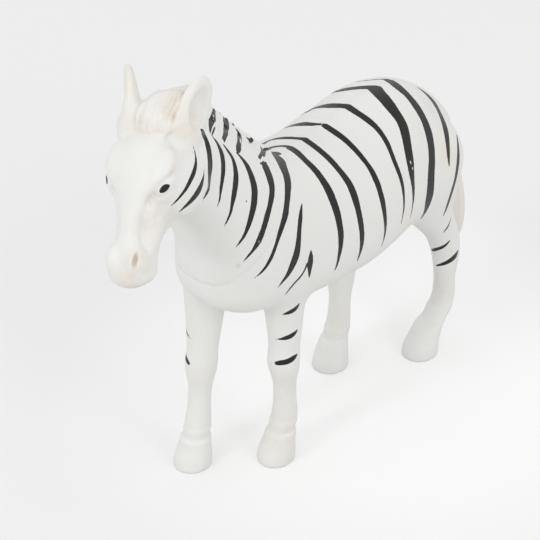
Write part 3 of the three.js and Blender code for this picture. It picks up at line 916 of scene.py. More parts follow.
body_stripes = {
    "n7": [
        (264.2, 165, 3.4), (265.2, 166.8, 5.4), (266.6, 169, 6), (269.3, 176.1, 6.2),
        (271.4, 183.3, 5.8), (272.1, 190.8, 5.4), (271.3, 198.5, 5.4), (269.8, 206.1, 5),
        (267.8, 213.7, 5.3), (265.8, 221.2, 5.3), (263.5, 228.6, 5), (260.9, 235.9, 5.4),
        (257.8, 243, 5), (253.6, 249.6, 2.9), (248.6, 255.6, 2.1), (243.4, 261.5, 0.4),
    ],
    "n8": [
        (277.4, 156, 3.6), (278.6, 158, 6.6), (280, 160.6, 7), (283.3, 167.9, 6.6), (286.3, 175.3, 6.5),
        (287.8, 183.2, 6.5), (287.8, 191, 6), (287.4, 198.9, 5.7), (286.5, 206.9, 5.6),
        (285.3, 214.8, 5.9), (283.2, 222.6, 5.3), (280.8, 230.3, 4.5), (278.3, 238, 3.6),
        (275.8, 245.6, 3.2), (273.1, 253.1, 3.3), (269.8, 260.4, 3.2), (265.6, 267.3, 2.7),
        (260.3, 273.3, 1.9), (254.1, 278.6, 0.5),
    ],
    "n9": [
        (302.1, 203, 0.7), (301, 211.2, 2.9), (300.3, 219.5, 4.2), (299.5, 227.8, 4),
        (298.9, 236.1, 4.4), (298.1, 244.3, 5), (296.8, 252.5, 6), (294.5, 260.3, 6.2),
        (291.3, 267.9, 5), (287.4, 275.2, 3.5), (282.3, 281.9, 1.8), (277.3, 288.5, 0.4),
    ],
    "n10": [
        (310.9, 250, 0.6), (310.6, 257.3, 4), (310.2, 264.4, 4.6), (309.7, 271.6, 2.7),
        (309.2, 278.9, 0.4),
    ],
    "n10_fork": [
        (307, 264, 1.5), (304.8, 269.9, 1.6), (300.5, 276.7, 1.6), (295, 282.6, 1.4),
        (289.9, 288.7, 1.3), (285, 295, 0.5),
    ],
    "b1": [
        (289, 147.4, 4.4), (295.6, 151.4, 4.9), (301.5, 156.6, 5), (307.2, 162.2, 5.2),
        (312.9, 167.8, 5.6), (318.2, 173.9, 6), (322.7, 180.5, 6.3), (326.9, 187.3, 7),
        (330.5, 194.5, 7.3), (333.5, 201.9, 7.1), (336.1, 209.5, 6.7), (338.2, 217.2, 6.2),
        (339.7, 225.1, 5.6), (340.8, 232.9, 5.4), (341, 240.7, 4.6), (340.4, 248.6, 3.7),
        (339, 256.5, 2.6), (337.2, 264.3, 1.6), (334.2, 271.8, 0.4),
    ],
    "b2": [
        (303.7, 138.6, 4.6), (310.5, 143.4, 4.8), (317, 148.2, 5.1), (323.2, 153.4, 5.4),
        (329.2, 158.8, 5.4), (334.7, 164.7, 5.3), (339.9, 171, 5.3), (344.8, 177.3, 5.6),
        (349.2, 183.9, 6.1), (352.5, 191, 6.5), (355.1, 198.5, 6.3), (357.3, 206.2, 5.6),
        (359.2, 214, 5.1), (360.6, 221.8, 4.9), (361.7, 229.7, 4.4), (362.1, 237.7, 3.9),
        (361.6, 245.8, 2.8), (359.8, 253.8, 1.5), (357, 261.4, 0.5),
    ],
    "b3": [
        (323.4, 124.6, 4.2), (326.4, 126.6, 5.2), (333.1, 131, 5.6), (339.6, 135.5, 5.6),
        (345.9, 140.4, 5.5), (351.6, 145.9, 5.1), (357.1, 151.6, 5), (362.2, 157.7, 4.8),
        (367.1, 163.9, 4.5), (371.4, 170.5, 5), (374.9, 177.6, 5.4), (378, 184.8, 5.2),
        (380.3, 192.4, 4.9), (382.3, 200, 4.7), (383.8, 207.7, 4.1), (384.9, 215.4, 3.3),
        (385.5, 223.2, 2.4), (385.2, 231.2, 1.5), (383.8, 239, 0.9), (381.3, 246.6, 0.4),
    ],
    "b4": [
        (346.6, 105.6, 5), (349.3, 107.6, 6), (356, 112, 5.8), (362.6, 116.3, 5.9), (368.9, 120.9, 5.8),
        (374.8, 126, 5.3), (380, 131.9, 4.9), (384.5, 138.5, 4.6), (388.3, 145.6, 4.6),
        (391.3, 153.2, 4.1), (394.2, 160.7, 4), (397.1, 168.3, 3.7), (400, 175.8, 3.3),
        (402.1, 183.5, 3), (403.4, 191.4, 2.3), (404, 199.4, 1.7), (403.9, 207.5, 1.2),
        (402.8, 215.6, 0.8), (401.2, 223.6, 0.4),
    ],
    "b5": [
        (373.4, 86.8, 8.6), (379.9, 94, 9.4), (385, 99.4, 10), (389.9, 105.5, 10.2), (394.7, 111.9, 9.2),
        (399.3, 118.3, 8.6), (402.8, 125.2, 8.8), (405.1, 132.6, 8.7), (406.7, 140.2, 8.3),
        (408, 147.9, 7.9), (409.3, 155.7, 7.5), (410.6, 163.3, 6.8), (411.6, 171.3, 5.3),
        (412.5, 179.1, 3.8), (413.3, 187, 2.7), (413.5, 194.9, 1.8), (413, 202.8, 1.1),
        (411.8, 210.6, 0.7), (410.1, 218.4, 0.4),
    ],
    "b6": [
        (387.9, 79.7, 4.6), (394.3, 83.6, 5), (400.1, 88.5, 5.4), (406.1, 93.7, 5.2), (411.3, 99.6, 5.5),
        (416, 105.9, 6.2), (420.3, 112.5, 6), (423.8, 119.4, 6), (426.6, 126.6, 6.4), (428.9, 134, 6.7),
        (430.5, 141.7, 6.4), (431.5, 149.5, 6.3), (431.8, 157.4, 6.2), (431.7, 165.2, 6.4),
        (431.3, 173.1, 6.4), (430.9, 181, 6.3), (430.4, 188.8, 6.1), (429.5, 196.7, 5.6),
        (427.8, 204.4, 4.1), (425.1, 211.9, 2.3), (421, 218.8, 0.6),
    ],
    "b7": [
        (417.8, 87.6, 1.1), (422.8, 91.1, 2.4), (428.7, 96.3, 3.7), (433.9, 102.4, 4.6),
        (438.1, 109.5, 5), (441.5, 117.1, 5), (444.3, 124.8, 4.9), (446.3, 132.9, 4.5),
        (447.4, 141.1, 4.1), (448.2, 149.4, 3.4), (448.7, 157.7, 2.5), (449.3, 166.1, 0.8),
    ],
    "b8": [
        (457, 136.1, 1.4), (458, 144.3, 2.3), (458.4, 152.5, 2.9), (458.2, 160.6, 3.3),
        (457.3, 168.7, 3.3), (455.9, 176.8, 3.1), (453.9, 184.8, 3), (451.6, 192.5, 2.9),
        (449.1, 200.3, 2.6), (446.5, 208.2, 1.9), (443.3, 215.7, 0.6),
    ],
}
far_branches = {
    "b1": [(264.5, 149.8, 1), (270, 147.8, 1.5), (276, 146.5, 1.8), (283, 146, 2), (289, 147, 3)],
    "b2": [
        (263, 144, 0.8), (267, 141.6, 1.4), (272, 139.7, 2), (280, 138.2, 2.4), (290, 137.9, 2.6),
        (298, 138.4, 2.6), (303.7, 139, 3.4),
    ],
    "b3": [
        (280, 130.2, 0.6), (284.5, 128, 1.5), (289.5, 126.2, 2.4), (296, 124.7, 3.2), (304, 124, 3.6),
        (313, 124.3, 3.2), (318, 124.2, 1.8), (323, 124.4, 2.2),
    ],
    "b4": [
        (308.5, 111.2, 0.6), (312.5, 108.8, 2), (318.5, 106.9, 3), (325.5, 105.8, 3.9),
        (333.5, 105.6, 4.5), (341, 105.7, 4.5), (347.5, 106.4, 5),
    ],
    "b5": [
        (320.5, 99.8, 0.6), (325, 96.2, 1.6), (330.5, 93.4, 2.8), (338, 90.8, 3.8), (346, 89.2, 4),
        (355, 88, 3.6), (365, 87.3, 3.6), (376, 87.6, 4.6),
    ],
    "b6": [
        (346, 84.6, 0.4), (353, 82.4, 0.8), (361, 81.1, 1), (370, 80.1, 1), (380, 79.2, 1.1),
        (388, 79.6, 2.4),
    ],
}
leg_stripes = {
    "fore_left": [
        [
            (299.2, 303.6, 0.8), (296.3, 307.8, 3), (292.3, 310.9, 3.8), (287.7, 313, 3),
            (282.8, 314.4, 0.8),
        ],
        [
            (297.5, 329.5, 0.6), (294.3, 333.6, 3.3), (290, 336.5, 4.3), (285.2, 338.2, 3.7),
            (280.1, 339.1, 1.8), (274.9, 339.3, 0.5),
        ],
        [
            (297.4, 354.2, 0.7), (293.9, 357.7, 4), (290, 360.3, 5.2), (285.6, 362.1, 5.3),
            (280.9, 362.9, 5.2), (276.4, 363.4, 3.6),
        ],
    ],
    "hind_left": [
        [(451, 217.5, 0.6), (449.4, 223, 1), (446.9, 228.1, 1.3), (443.3, 232.4, 0.5)],
        [
            (450, 240.2, 0.8), (446.2, 244.5, 2.1), (441.5, 247.5, 2.7), (436.2, 249.3, 2.6),
            (430.6, 250.6, 1.4),
        ],
        [
            (457.7, 251.4, 1.6), (455.1, 256.1, 3.4), (451.3, 259.6, 4), (446.8, 262.4, 3.7),
            (441.9, 264.4, 2.8), (436.6, 265.6, 1.4),
        ],
    ],
}
mane_patches = [
    [
        (214.3, 104), (215.8, 109), (215.4, 113), (215.7, 121), (215.3, 129), (213.2, 134), (211.8, 136),
        (209.6, 131.6), (208.7, 126), (208.6, 119.5), (211.2, 114), (212.6, 109.5),
    ],
    [
        (223, 115.6), (224.8, 118), (226.6, 117.7), (228.1, 119.5), (229, 124), (229.2, 128),
        (228.1, 132), (228.1, 135), (226.6, 138), (225.1, 142), (224.3, 142.8), (223.1, 140),
        (221.9, 138), (223.2, 133), (223.4, 128), (223.6, 123), (223, 119),
    ],
    [
        (234.8, 127.8), (237, 128.8), (239.2, 131.8), (241, 134.5), (241.6, 138), (241.9, 142),
        (241.2, 146), (241.1, 150), (240, 153), (237.4, 152.6), (236, 150), (235.9, 146), (237.2, 141),
        (237.3, 137), (237.3, 132.5),
    ],
    [(245, 136.6), (249, 138.2), (251.6, 137), (254, 140.3), (251.2, 143.6), (249.5, 143), (248, 139.8)],
    [
        (259.6, 145), (262, 148), (264, 149.3), (266, 149.8), (265.8, 153), (265, 156.6), (263.4, 157),
        (262.4, 155.8), (260.5, 159.8), (258.9, 158.6), (257.8, 156.6), (259.4, 154), (260.9, 151),
        (260.8, 148),
    ],
    [(219.4, 111.6), (221.6, 112.2), (222.2, 114), (220.4, 114)],
    [(231.8, 123), (233.8, 123.4), (234, 126), (232.4, 125.4)],
]
bare_marks = [
    [(213.7, 115.2, 0.7), (213.2, 120.6, 0.6)],
    [(216.3, 121, 0.9), (214.4, 125, 1.1), (212.3, 129, 1.1), (211.2, 134, 0.9)],
    [(410.3, 161.4, 0.9), (411, 163.6, 0.8)],
    [(412.4, 167.6, 0.8), (412.8, 169.6, 0.7)],
    [(322.2, 122.6, 0.9), (321, 126.6, 1)],
    [(240.3, 139, 0.7), (240.6, 142.6, 0.7)],
    [(258.6, 240.4, 0.5), (259.6, 243.4, 0.4)],
]
thinnest_px = 0.2
widest_spread = 2.4


def laid(rows):
    """A line of the photograph laid on the skin: places, and half widths in millimetres."""
    rows = smooth_rows(rows, steps=3)
    course = np.gradient(rows[:, :2], axis=0)
    course /= np.linalg.norm(course, axis=1)[:, None]
    places, halves = [], []
    reach = view_distance
    for (x, y, wide), (run_x, run_y) in zip(rows, course):
        wide = max(wide, thinnest_px)
        place = whole_skin.met((x, y), reach)
        reach = np.linalg.norm(place - view_place)
        flat = wide / px_per_mm
        edges = [whole_skin.seen((x - k * run_y * wide / 2, y + k * run_x * wide / 2)) for k in (-1, 1)]
        if edges[0] is not None and edges[1] is not None:
            flat = np.clip(np.linalg.norm(edges[0] - edges[1]), flat, widest_spread * flat)
        places.append(place)
        halves.append(flat / 2)
    return np.array(places), np.array(halves)


def on_skin(places):
    return np.array([whole_skin.near(place) for place in places])


def leg_middle(name, heights):
    """Middle of a leg at some heights, from its own row of sections."""
    stations, foot, hip, bend = leg_stances[name]
    rows = smooth_rows(stations)
    x, y = leg_course(rows[:, 0], rows[:, 1], rows[-1, 0], foot, hip, bend)
    z = rows[:, 0] * withers_height
    return np.stack([np.interp(heights, z, x), np.interp(heights, z, y), heights], 1)


# A stripe's copy on the unseen side: those by the cheek turn with the head. Where its far branch shows
# over the back, the copy starts as that branch, drifts back to its course and keeps the branch's width
# for a while. The stripes n7 and n8 and those of the hind leg leave out the rows that would not fit.
turned_with_head = ("n1", "n2")
branch_drift = 18.0
branch_least = 0.75
branch_gap = 0.5
least_half = 0.1
left_out_above = {"n7": 6, "n8": 6}
left_out_below = 5
stripes = []
for name, rows in neck_stripes.items():
    places, halves = laid(rows)
    other = mirrored_head(places) if name in turned_with_head else on_skin(places * (1, -1, 1))
    stripes += [(places, halves, False), (other, halves, False)]
for name, rows in body_stripes.items():
    places, halves = laid(rows)
    blunt = name in far_branches
    stripes.append((places, halves, blunt))
    other = on_skin(places * (1, -1, 1))
    if name in far_branches:
        branch, branch_halves = laid(far_branches[name])
        branch, branch_halves = branch[::-1], branch_halves[::-1]
        branch_halves = np.maximum(branch_halves, branch_least * np.median(branch_halves))
        seen_length = length_along(branch)[-1]
        run = length_along(other)
        rest = run > seen_length + branch_gap
        fade = np.exp(-(run[rest] - seen_length) / branch_drift)
        drift = (branch[-1] - place_along(seen_length, run, other)) * (1, 0, 0)
        other = np.vstack([branch, on_skin(other[rest] + fade[:, None] * drift)])
        narrow = branch_halves[-1] / max(np.interp(seen_length, run, halves), least_half)
        halves = np.r_[branch_halves, halves[rest] * (1 + (narrow - 1) * fade)]
    first = left_out_above.get(name, 0)
    stripes.append((other[first:], halves[first:], False))
for name, lines in leg_stripes.items():
    other_name = name.replace("left", "right")
    for rows in lines:
        places, halves = laid(rows)
        stripes.append((places, halves, False))
        offset = (places - leg_middle(name, places[:, 2])) * (1, -1, 1)
        other = on_skin(leg_middle(other_name, places[:, 2]) + offset)
        if name == "hind_left":
            other, halves = other[:-left_out_below], halves[:-left_out_below]
        stripes.append((other, halves, False))

for rows in stripe_tops:
    stripes.append((*laid(rows), False))

# The eyes and two stray specks are painted with the stripes' black.
eye_rows = [
    (161.4, 191.2, 3.6), (163.2, 189.9, 5.6), (164.8, 188.7, 6), (166.4, 187.6, 5.4), (168, 186.4, 3.4),
]
eye, eye_halves = laid(eye_rows)
stripes += [(eye, eye_halves, False), (mirrored_head(eye), eye_halves, False)]
specks = [(246.3, 201, 1.5), (249.6, 271.2, 0.9)]
speck_run = (0.4, 0.3)
for x, y, wide in specks:
    stripes.append((*laid([(x, y, wide), (x + speck_run[0], y + speck_run[1], wide)]), False))


def project(points):
    """Pixels of the photograph at which points are seen."""
    away = points - view_place
    depth = -(away @ view_back)
    x = image_px / 2 + focal_px * (away @ view_right) / depth
    y = image_px / 2 - focal_px * (away @ view_up) / depth
    return np.stack([x, y], 1)


def inside_patch(pixels, outline):
    """Signed distance into an outline, in pixels: positive inside it."""
    outline = np.array(outline, float)
    least = np.full(len(pixels), np.inf)
    odd = np.zeros(len(pixels), bool)
    for a, b in zip(outline, np.roll(outline, -1, axis=0)):
        run = b - a
        share = np.clip((pixels - a) @ run / (run @ run), 0, 1)
        least = np.minimum(least, np.linalg.norm(pixels - a - share[:, None] * run, axis=1))
        crosses = (a[1] > pixels[:, 1]) != (b[1] > pixels[:, 1])
        at = a[0] + (pixels[:, 1] - a[1]) / (run[1] + 1e-12) * run[0]
        odd ^= crosses & (pixels[:, 0] < at)
    return np.where(odd, least, -least)


paint_reach = 1.0


def striped(points):
    """Depth of points in the black stripes, in millimetres: positive where paint lies."""
    paint = np.full(len(points), -paint_reach)
    for places, halves, blunt in stripes:
        paint = np.maximum(paint, into_line(points, places, halves, paint_reach, blunt))
    return paint


mane_half_width = 0.3 * barrel_width
mane_root = 5.5
mane_span = (0.2 * withers_height, 0.7 * withers_height)


def mane_painted(points):
    """The patches on the mane, alike on both of its sides."""
    x, y, z = points.T
    rows = smooth_rows(mane_shares)[::-1]
    middle = np.interp(x, rows[:, 0] * withers_height, rows[:, 1] * barrel_width)
    foot = np.interp(x, rows[:, 0] * withers_height, rows[:, 2] * withers_height)
    aside = np.abs(y - middle)
    on_mane = (aside < mane_half_width) & (z > foot - mane_root)
    on_mane &= (x > mane_span[0]) & (x < mane_span[1])
    pixels = project(np.stack([x, middle + aside, z], 1)[on_mane])
    depth = np.full(len(pixels), -paint_reach)
    for outline in mane_patches:
        depth = np.maximum(depth, inside_patch(pixels, outline) / px_per_mm)
    paint = np.full(len(points), -paint_reach)
    paint[on_mane] = depth
    return paint


def painted(points):
    """Depth of points in all the black paint, less the marks where it has rubbed off."""
    paint = np.maximum(striped(points), mane_painted(points))
    for rows in bare_marks:
        places, halves = laid(rows)
        paint = np.minimum(paint, -into_line(points, places, halves, paint_reach))
    return paint


head_paint = painted(head_points)
body_paint = painted(body_points)

# Tints: the white vinyl has yellowed and picked up tan where hands and light reached it. The tan rows
# at the eye's inner corner and fold, down the valley beside the nose, under the muzzle and under the
# forelock's fringe are painted shade in those hollows and undersides. Each row is a place in the
# photograph, its reach in millimetres, and how cream and how tan it is. Those right of mirrored_from_px
# are repeated on the unseen side.
mirrored_from_px = 215
stains_and_shade = [
    (169, 107, 1.5, 0.05, 0.3), (172, 99, 1.6, 0.12, 0.16), (165, 112, 1.2, 0.05, 0.18),
    (170, 117, 1.0, 0.1, 0.2), (178, 94, 1.6, 0.25, 0.06), (150, 118, 2.0, 0.22, 0.02),
    (140, 124, 1.4, 0.3, 0.04), (160, 127, 1.2, 0.0, 0.14), (147, 130, 1.8, 0.02, 0.1),
    (199, 100, 3.2, 0.06, 0.05), (192, 115, 1.2, 0.3, 0.12), (212.5, 98, 1.0, 0.5, 0.06),
    (190, 131, 1.8, 0.34, 0.06), (187, 105, 1.6, 0.22, 0.0), (129, 78, 2.6, 0.3, 0.04),
    (137, 97, 1.5, 0.35, 0.0), (128, 118, 2.2, 0.05, 0.1), (172, 172, 0.7, 0.2, 0.3),
    (174, 167, 0.6, 0.2, 0.25), (157, 194, 1.1, 0.0, 0.32), (151, 203, 1.0, 0.0, 0.16),
    (163, 184.5, 0.6, 0.0, 0.2), (143, 225, 1.9, 0.0, 0.16), (139, 258, 1.0, 0.45, 0.12),
    (133, 277, 3.6, 0.0, 0.22), (130, 284, 1.8, 0.0, 0.2), (155, 225, 3.5, 0.0, 0.1),
    (170, 215, 3.5, 0.05, 0.1), (183, 130, 3.0, 0.05, 0.16), (445, 152, 2.6, 0.4, 0.05),
    (454, 158, 2.2, 0.42, 0.02), (429, 107, 2.0, 0.05, 0.14), (443, 130, 2.2, 0.15, 0.06),
    (282, 425, 5.0, 0.05, 0.1), (284, 450, 4.0, 0.06, 0.08), (441, 290, 4.0, 0.04, 0.1),
    (345, 325, 4.0, 0.04, 0.08), (205, 370, 3.0, 0.03, 0.06), (411, 215, 2.6, 0.2, 0.02),
    (405, 118, 2.4, 0.14, 0.03), (238.4, 265.8, 0.42, 0.3, 0.6), (211, 286.4, 1.2, 0.0, 0.1),
    (222, 282, 1.0, 0.0, 0.08), (290, 385, 4.0, 0.0, 0.08),
]


def stained_and_shaded(points):
    """How cream and how tan each point is; part of the tan is painted shade."""
    cream, tan = np.zeros(len(points)), np.zeros(len(points))
    for x, y, reach, cream_share, tan_and_shade_share in stains_and_shade:
        place = whole_skin.met((x, y))
        places = [place, place * (1, -1, 1)] if x >= mirrored_from_px else [place]
        for one in places:
            weight = np.exp(-((points - one) ** 2).sum(1) / reach**2)
            cream += cream_share * weight
            tan += tan_and_shade_share * weight
    return np.minimum(cream, 1), np.minimum(tan, 1)


body_cream, body_tan_and_shade = stained_and_shaded(body_points)
head_cream, head_tan_and_shade = stained_and_shaded(head_points)

# The grooves between the forelock's locks are tinted tan and the locks' tops keep less of it: painted
# shade in the grooves. How far a point lies from the nearest lock's middle line is measured as seen
# from above the brow.
lock_half = 0.45
lock_nearby = 0.9
nearby_reach = 1.0
groove_half = 0.24
lock_tan = 0.8
groove_shade = 1.5
groove_shade_tint = 0.07
on_lock = np.full(len(head_points), -nearby_reach)
for guide in forelock_rows:
    row = guide[len(root_taper) * forelock_steps :, :3]
    close = into_line(head_points, row, np.full(len(row), lock_nearby), nearby_reach) > 0
    aside = (head_points[close] - head_place) @ poll_turned * (1, 1, 0)
    flat = (row - head_place) @ poll_turned * (1, 1, 0)
    within = into_line(aside, flat, np.full(len(row), lock_half), nearby_reach)
    on_lock[close] = np.maximum(on_lock[close], within)
by_lock = on_lock > -0.999 * nearby_reach
groove = np.where(by_lock, np.clip((groove_half - on_lock) / groove_half, 0, 1), 0)
head_tan_and_shade = head_tan_and_shade * np.where(by_lock, lock_tan + groove_shade * groove, 1) + groove_shade_tint * groove

# Painted shade in and round the nostrils: darkest at their middles, fading out a little beyond their rims.
nostril_shade_reach = 1.7
from_nostril = [(to_head(head_points) - place) / nostril_radii for place in nostril_places]
nearest_share = np.minimum(*(np.linalg.norm(share, axis=1) for share in from_nostril))
head_nostril_shade = np.clip(nostril_shade_reach - nearest_share, 0, 1)


# Finish: satin vinyl, a little translucent and blotched with age, with the cream and tan stains, the
# painted shade in the nostrils, the face's hollows and the forelock's grooves, and the black gloss paint
# on it. The paint's edge wavers as a brush leaves it, and the paint is smoother than the vinyl.
blotch_tint = (0.985, 0.975, 0.96)
cream_stain = (0.83, 0.76, 0.58, 1)
tan_and_shade_tone = (0.63, 0.47, 0.34, 1)
nostril_shade_tone = (0.6, 0.5, 0.41, 1)
black_paint = (0.006, 0.006, 0.0065, 1)
streaked_paint = (0.014, 0.014, 0.014, 1)


def vinyl_finish(name, white):
    made = bpy.data.materials.new(name)
    made.use_nodes = True
    tree = made.node_tree
    shader = tree.nodes["Principled BSDF"]
    place = linked(tree, "ShaderNodeTexCoord", {}).outputs["Object"]

    def grain(scale, detail, rough=0.5):
        inputs = {"Vector": place, "Scale": scale, "Detail": detail, "Roughness": rough}
        return linked(tree, "ShaderNodeTexNoise", inputs).outputs["Fac"]

    def mark(key):
        return linked(tree, "ShaderNodeAttribute", {}, attribute_name=key).outputs["Fac"]

    def calc(operation, a, b, clamp=False):
        inputs = {0: a, 1: b}
        return linked(tree, "ShaderNodeMath", inputs, operation=operation, use_clamp=clamp).outputs[0]

    def ranged(value, low, high, to_low, to_high):
        inputs = {0: value, 1: low, 2: high, 3: to_low, 4: to_high}
        return linked(tree, "ShaderNodeMapRange", inputs).outputs[0]

    def mixed(share, one, other):
        node = linked(tree, "ShaderNodeMix", {}, data_type="RGBA")
        for key, value in (("Factor", share), ("A", one), ("B", other)):
            entry = next(s for s in node.inputs if s.name == key and s.enabled)
            if isinstance(value, bpy.types.NodeSocket):
                tree.links.new(value, entry)
            else:
                entry.default_value = value
        return next(s for s in node.outputs if s.enabled)

    blotch = ranged(grain(160, 3), 0.35, 0.65, 0.0, 1.0)
    fine_blotch = ranged(grain(900, 2), 0.3, 0.7, 0.55, 1.25)
    aged = (*(tone * tint for tone, tint in zip(white, blotch_tint)), 1)
    ground = mixed(calc("MULTIPLY", blotch, 0.5), (*white, 1), aged)
    creamed = mixed(calc("MULTIPLY", mark("cream"), fine_blotch, True), ground, cream_stain)
    # The tan colour lays both the tan stains and painted shade; the next mix lays the nostrils' painted
    # shade.
    tanned_and_shaded = mixed(calc("MULTIPLY", mark("tan"), fine_blotch, True), creamed, tan_and_shade_tone)
    nostril_shaded = mixed(mark("nostril_shade"), tanned_and_shaded, nostril_shade_tone)

    edge = calc("MULTIPLY", calc("SUBTRACT", grain(1500, 4, 0.6), 0.5), 0.16)
    edge = calc("ADD", edge, calc("MULTIPLY", calc("SUBTRACT", grain(420, 2), 0.5), 0.1))
    cover = ranged(calc("ADD", mark("paint"), edge), -0.035, 0.035, 0.0, 1.0)
    streak = ranged(grain(2600, 3), 0.3, 0.75, 0.0, 1.0)
    black = mixed(streak, black_paint, streaked_paint)
    tree.links.new(mixed(cover, nostril_shaded, black), shader.inputs["Base Color"])
    sheen = ranged(grain(700, 3), 0.3, 0.7, 0.40, 0.52)
    gloss = ranged(grain(1100, 3), 0.3, 0.7, 0.24, 0.36)
    tree.links.new(
        calc("ADD", calc("MULTIPLY", sheen, calc("SUBTRACT", 1.0, cover)), calc("MULTIPLY", gloss, cover)),
        shader.inputs["Roughness"],
    )
    relief = calc("ADD", calc("MULTIPLY", grain(1800, 4, 0.6), 0.035), calc("MULTIPLY", cover, 0.03))
    relief = calc("ADD", relief, calc("MULTIPLY", calc("MULTIPLY", grain(3800, 2), cover), 0.03))
    bump = linked(tree, "ShaderNodeBump", {"Strength": 0.5, "Distance": 0.001, "Height": relief})
    tree.links.new(bump.outputs[0], shader.inputs["Normal"])
    shader.inputs["IOR"].default_value = 1.47
    shader.inputs["Specular IOR Level"].default_value = 0.4
    shader.inputs["Subsurface Weight"].default_value = 0.12
    shader.inputs["Subsurface Radius"].default_value = (1.0, 0.85, 0.7)
    shader.inputs["Subsurface Scale"].default_value = 0.0012
    return made


white_vinyl = vinyl_finish("white_vinyl", (0.83, 0.83, 0.81))


# The two halves and the head: mouldings of white vinyl. The skins above take their relief, are cut along
# the joints of the mould and closed there, and stand in the place of the plain solids.
def mesh_of(name, points, faces, **marks):
    """A piece from points in millimetres, with its marks kept at every point."""
    mesh = bpy.data.meshes.new(name)
    mesh.from_pydata(((points + figure_shift) * metres_per_mm).tolist(), [], faces.tolist())
    mesh.shade_smooth()
    for mark, values in marks.items():
        mesh.attributes.new(mark, "FLOAT", "POINT").data.foreach_set("value", values)
    piece = bpy.data.objects.new(name, mesh)
    bpy.context.scene.collection.objects.link(piece)
    return piece


def cut_mesh(piece, cuts):
    """Keeps the side of each plane that its normal points to, and closes the cut."""
    work = bmesh.new()
    work.from_mesh(piece.data)
    for place, normal in cuts:
        place = Vector((np.asarray(place) + figure_shift) * metres_per_mm)
        everything = list(work.verts) + list(work.edges) + list(work.faces)
        bmesh.ops.bisect_plane(
            work, geom=everything, plane_co=place, plane_no=Vector(normal), clear_inner=True
        )
        rim = [edge for edge in work.edges if edge.is_boundary]
        filled = bmesh.ops.triangle_fill(work, use_beauty=False, edges=rim)
        for face in filled["geom"]:
            if isinstance(face, bmesh.types.BMFace):
                face.smooth = False
        for edge in rim:
            edge.smooth = False
    bmesh.ops.recalc_face_normals(work, faces=work.faces)
    work.to_mesh(piece.data)
    work.free()


neck_side = (seam_front, seam_out)
trunk_side = (seam_front, -seam_out)
head_moulded = head_points + head_normals * head_relief[:, None]
head_marks = {"paint": head_paint, "cream": head_cream, "tan": head_tan_and_shade, "nostril_shade": head_nostril_shade}
head = mesh_of("zebra_head_and_neck", head_moulded, head_quads, **head_marks)
cut_mesh(head, [neck_side])
body_moulded = body_points + body_normals * body_relief[:, None]
body_moulded[:, 2] = np.maximum(body_moulded[:, 2], 0)
body_marks = {"paint": body_paint, "cream": body_cream, "tan": body_tan_and_shade, "nostril_shade": np.zeros(len(body_points))}
left_half = mesh_of("zebra_left_half", body_moulded, body_quads, **body_marks)
right_half = mesh_of("zebra_right_half", body_moulded, body_quads, **body_marks)
cut_mesh(left_half, [trunk_side, ((0, 0, 0), y_axis)])
cut_mesh(right_half, [trunk_side, ((0, 0, 0), -y_axis)])
for piece, node in [
    (head, "head_and_neck"),
    (left_half, "left_body_half"),
    (right_half, "right_body_half"),
]:
    piece.data.materials.append(white_vinyl)
    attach(piece, "root")
    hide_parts(node)

# Tail: a solid moulding of creamier vinyl, pressed into the rump by its peg, its tuft combed into long
# locks. Its rows give the height, how far behind the rump its middle hangs, and its half length and
# half width.
tail_thickness = 6.0
tail_shares = [
    (0.735, -0.3, 0.1, 0.12),
    (0.725, -0.17, 0.26, 0.28),
    (0.69, 0.04, 0.32, 0.32),
    (0.61, 0.32, 0.32, 0.32),
    (0.52, 0.62, 0.38, 0.38),
    (0.4, 0.9, 0.49, 0.48),
    (0.3, 0.98, 0.46, 0.45),
    (0.23, 0.95, 0.26, 0.25),
    (0.2, 0.88, 0.05, 0.05),
]
tuft_locks = 15
tuft_radius = 0.62
tuft_taper = [0.25, 0.6, 0.9, 1.0, 0.9, 0.5]
tuft_top = 0.56
tuft_top_spread = (-0.05, 0.03)
tuft_end = 0.215
tuft_end_spread = (0, 0.025)
tuft_twist = 0.5
tuft_wobble = 0.06
tuft_sink = 0.7
thinnest_half = 0.05


def tail_skin():
    rings = []
    for height, behind, half_length, half_width in smooth_rows(tail_shares):
        centre = (trunk_rear - behind * tail_thickness, 0, height * withers_height)
        length = half_length * tail_thickness
        rings.append(oval(centre, y_axis, x_axis, half_width * tail_thickness, length, length))
    return loft(rings)


def tuft_guides():
    """Guide lines of the tuft's locks, each with its thickness share."""
    rows = smooth_rows(tail_shares)[::-1]
    guides = []
    for number in range(tuft_locks):
        turn = number / tuft_locks * 2 * math.pi
        top = tuft_top + rng.uniform(*tuft_top_spread)
        end = tuft_end + rng.uniform(*tuft_end_spread)
        guide = []
        for share, thick in zip(np.linspace(0, 1, len(tuft_taper)), tuft_taper):
            height = top + (end - top) * share
            behind, half_length, half_width = place_along(height, rows[:, 0], rows[:, 1:])
            angle = turn + tuft_twist * share + rng.uniform(-tuft_wobble, tuft_wobble)
            inset = tail_thickness - tuft_sink * tuft_radius * thick / max(half_width, thinnest_half)
            guide.append((
                trunk_rear - behind * tail_thickness + math.sin(angle) * max(half_length * inset, 0),
                math.cos(angle) * max(half_width * inset, 0),
                height * withers_height,
                thick,
            ))
        guides.append(smooth_rows(guide, steps=4))
    return guides


tuft_fillet = 0.18
tail_block = Block(low=(-51, -4.5, 12), high=(-37, 4.5, 55), step=0.2, reach=3.0)
tuft = combed(tuft_guides(), tuft_radius, spread=0.15, seed=4)
tail_field = melted(tail_block.field(tail_skin()), tail_block.field(tuft), tuft_fillet)
tail_points, tail_quads = tail_block.skin(tail_field)

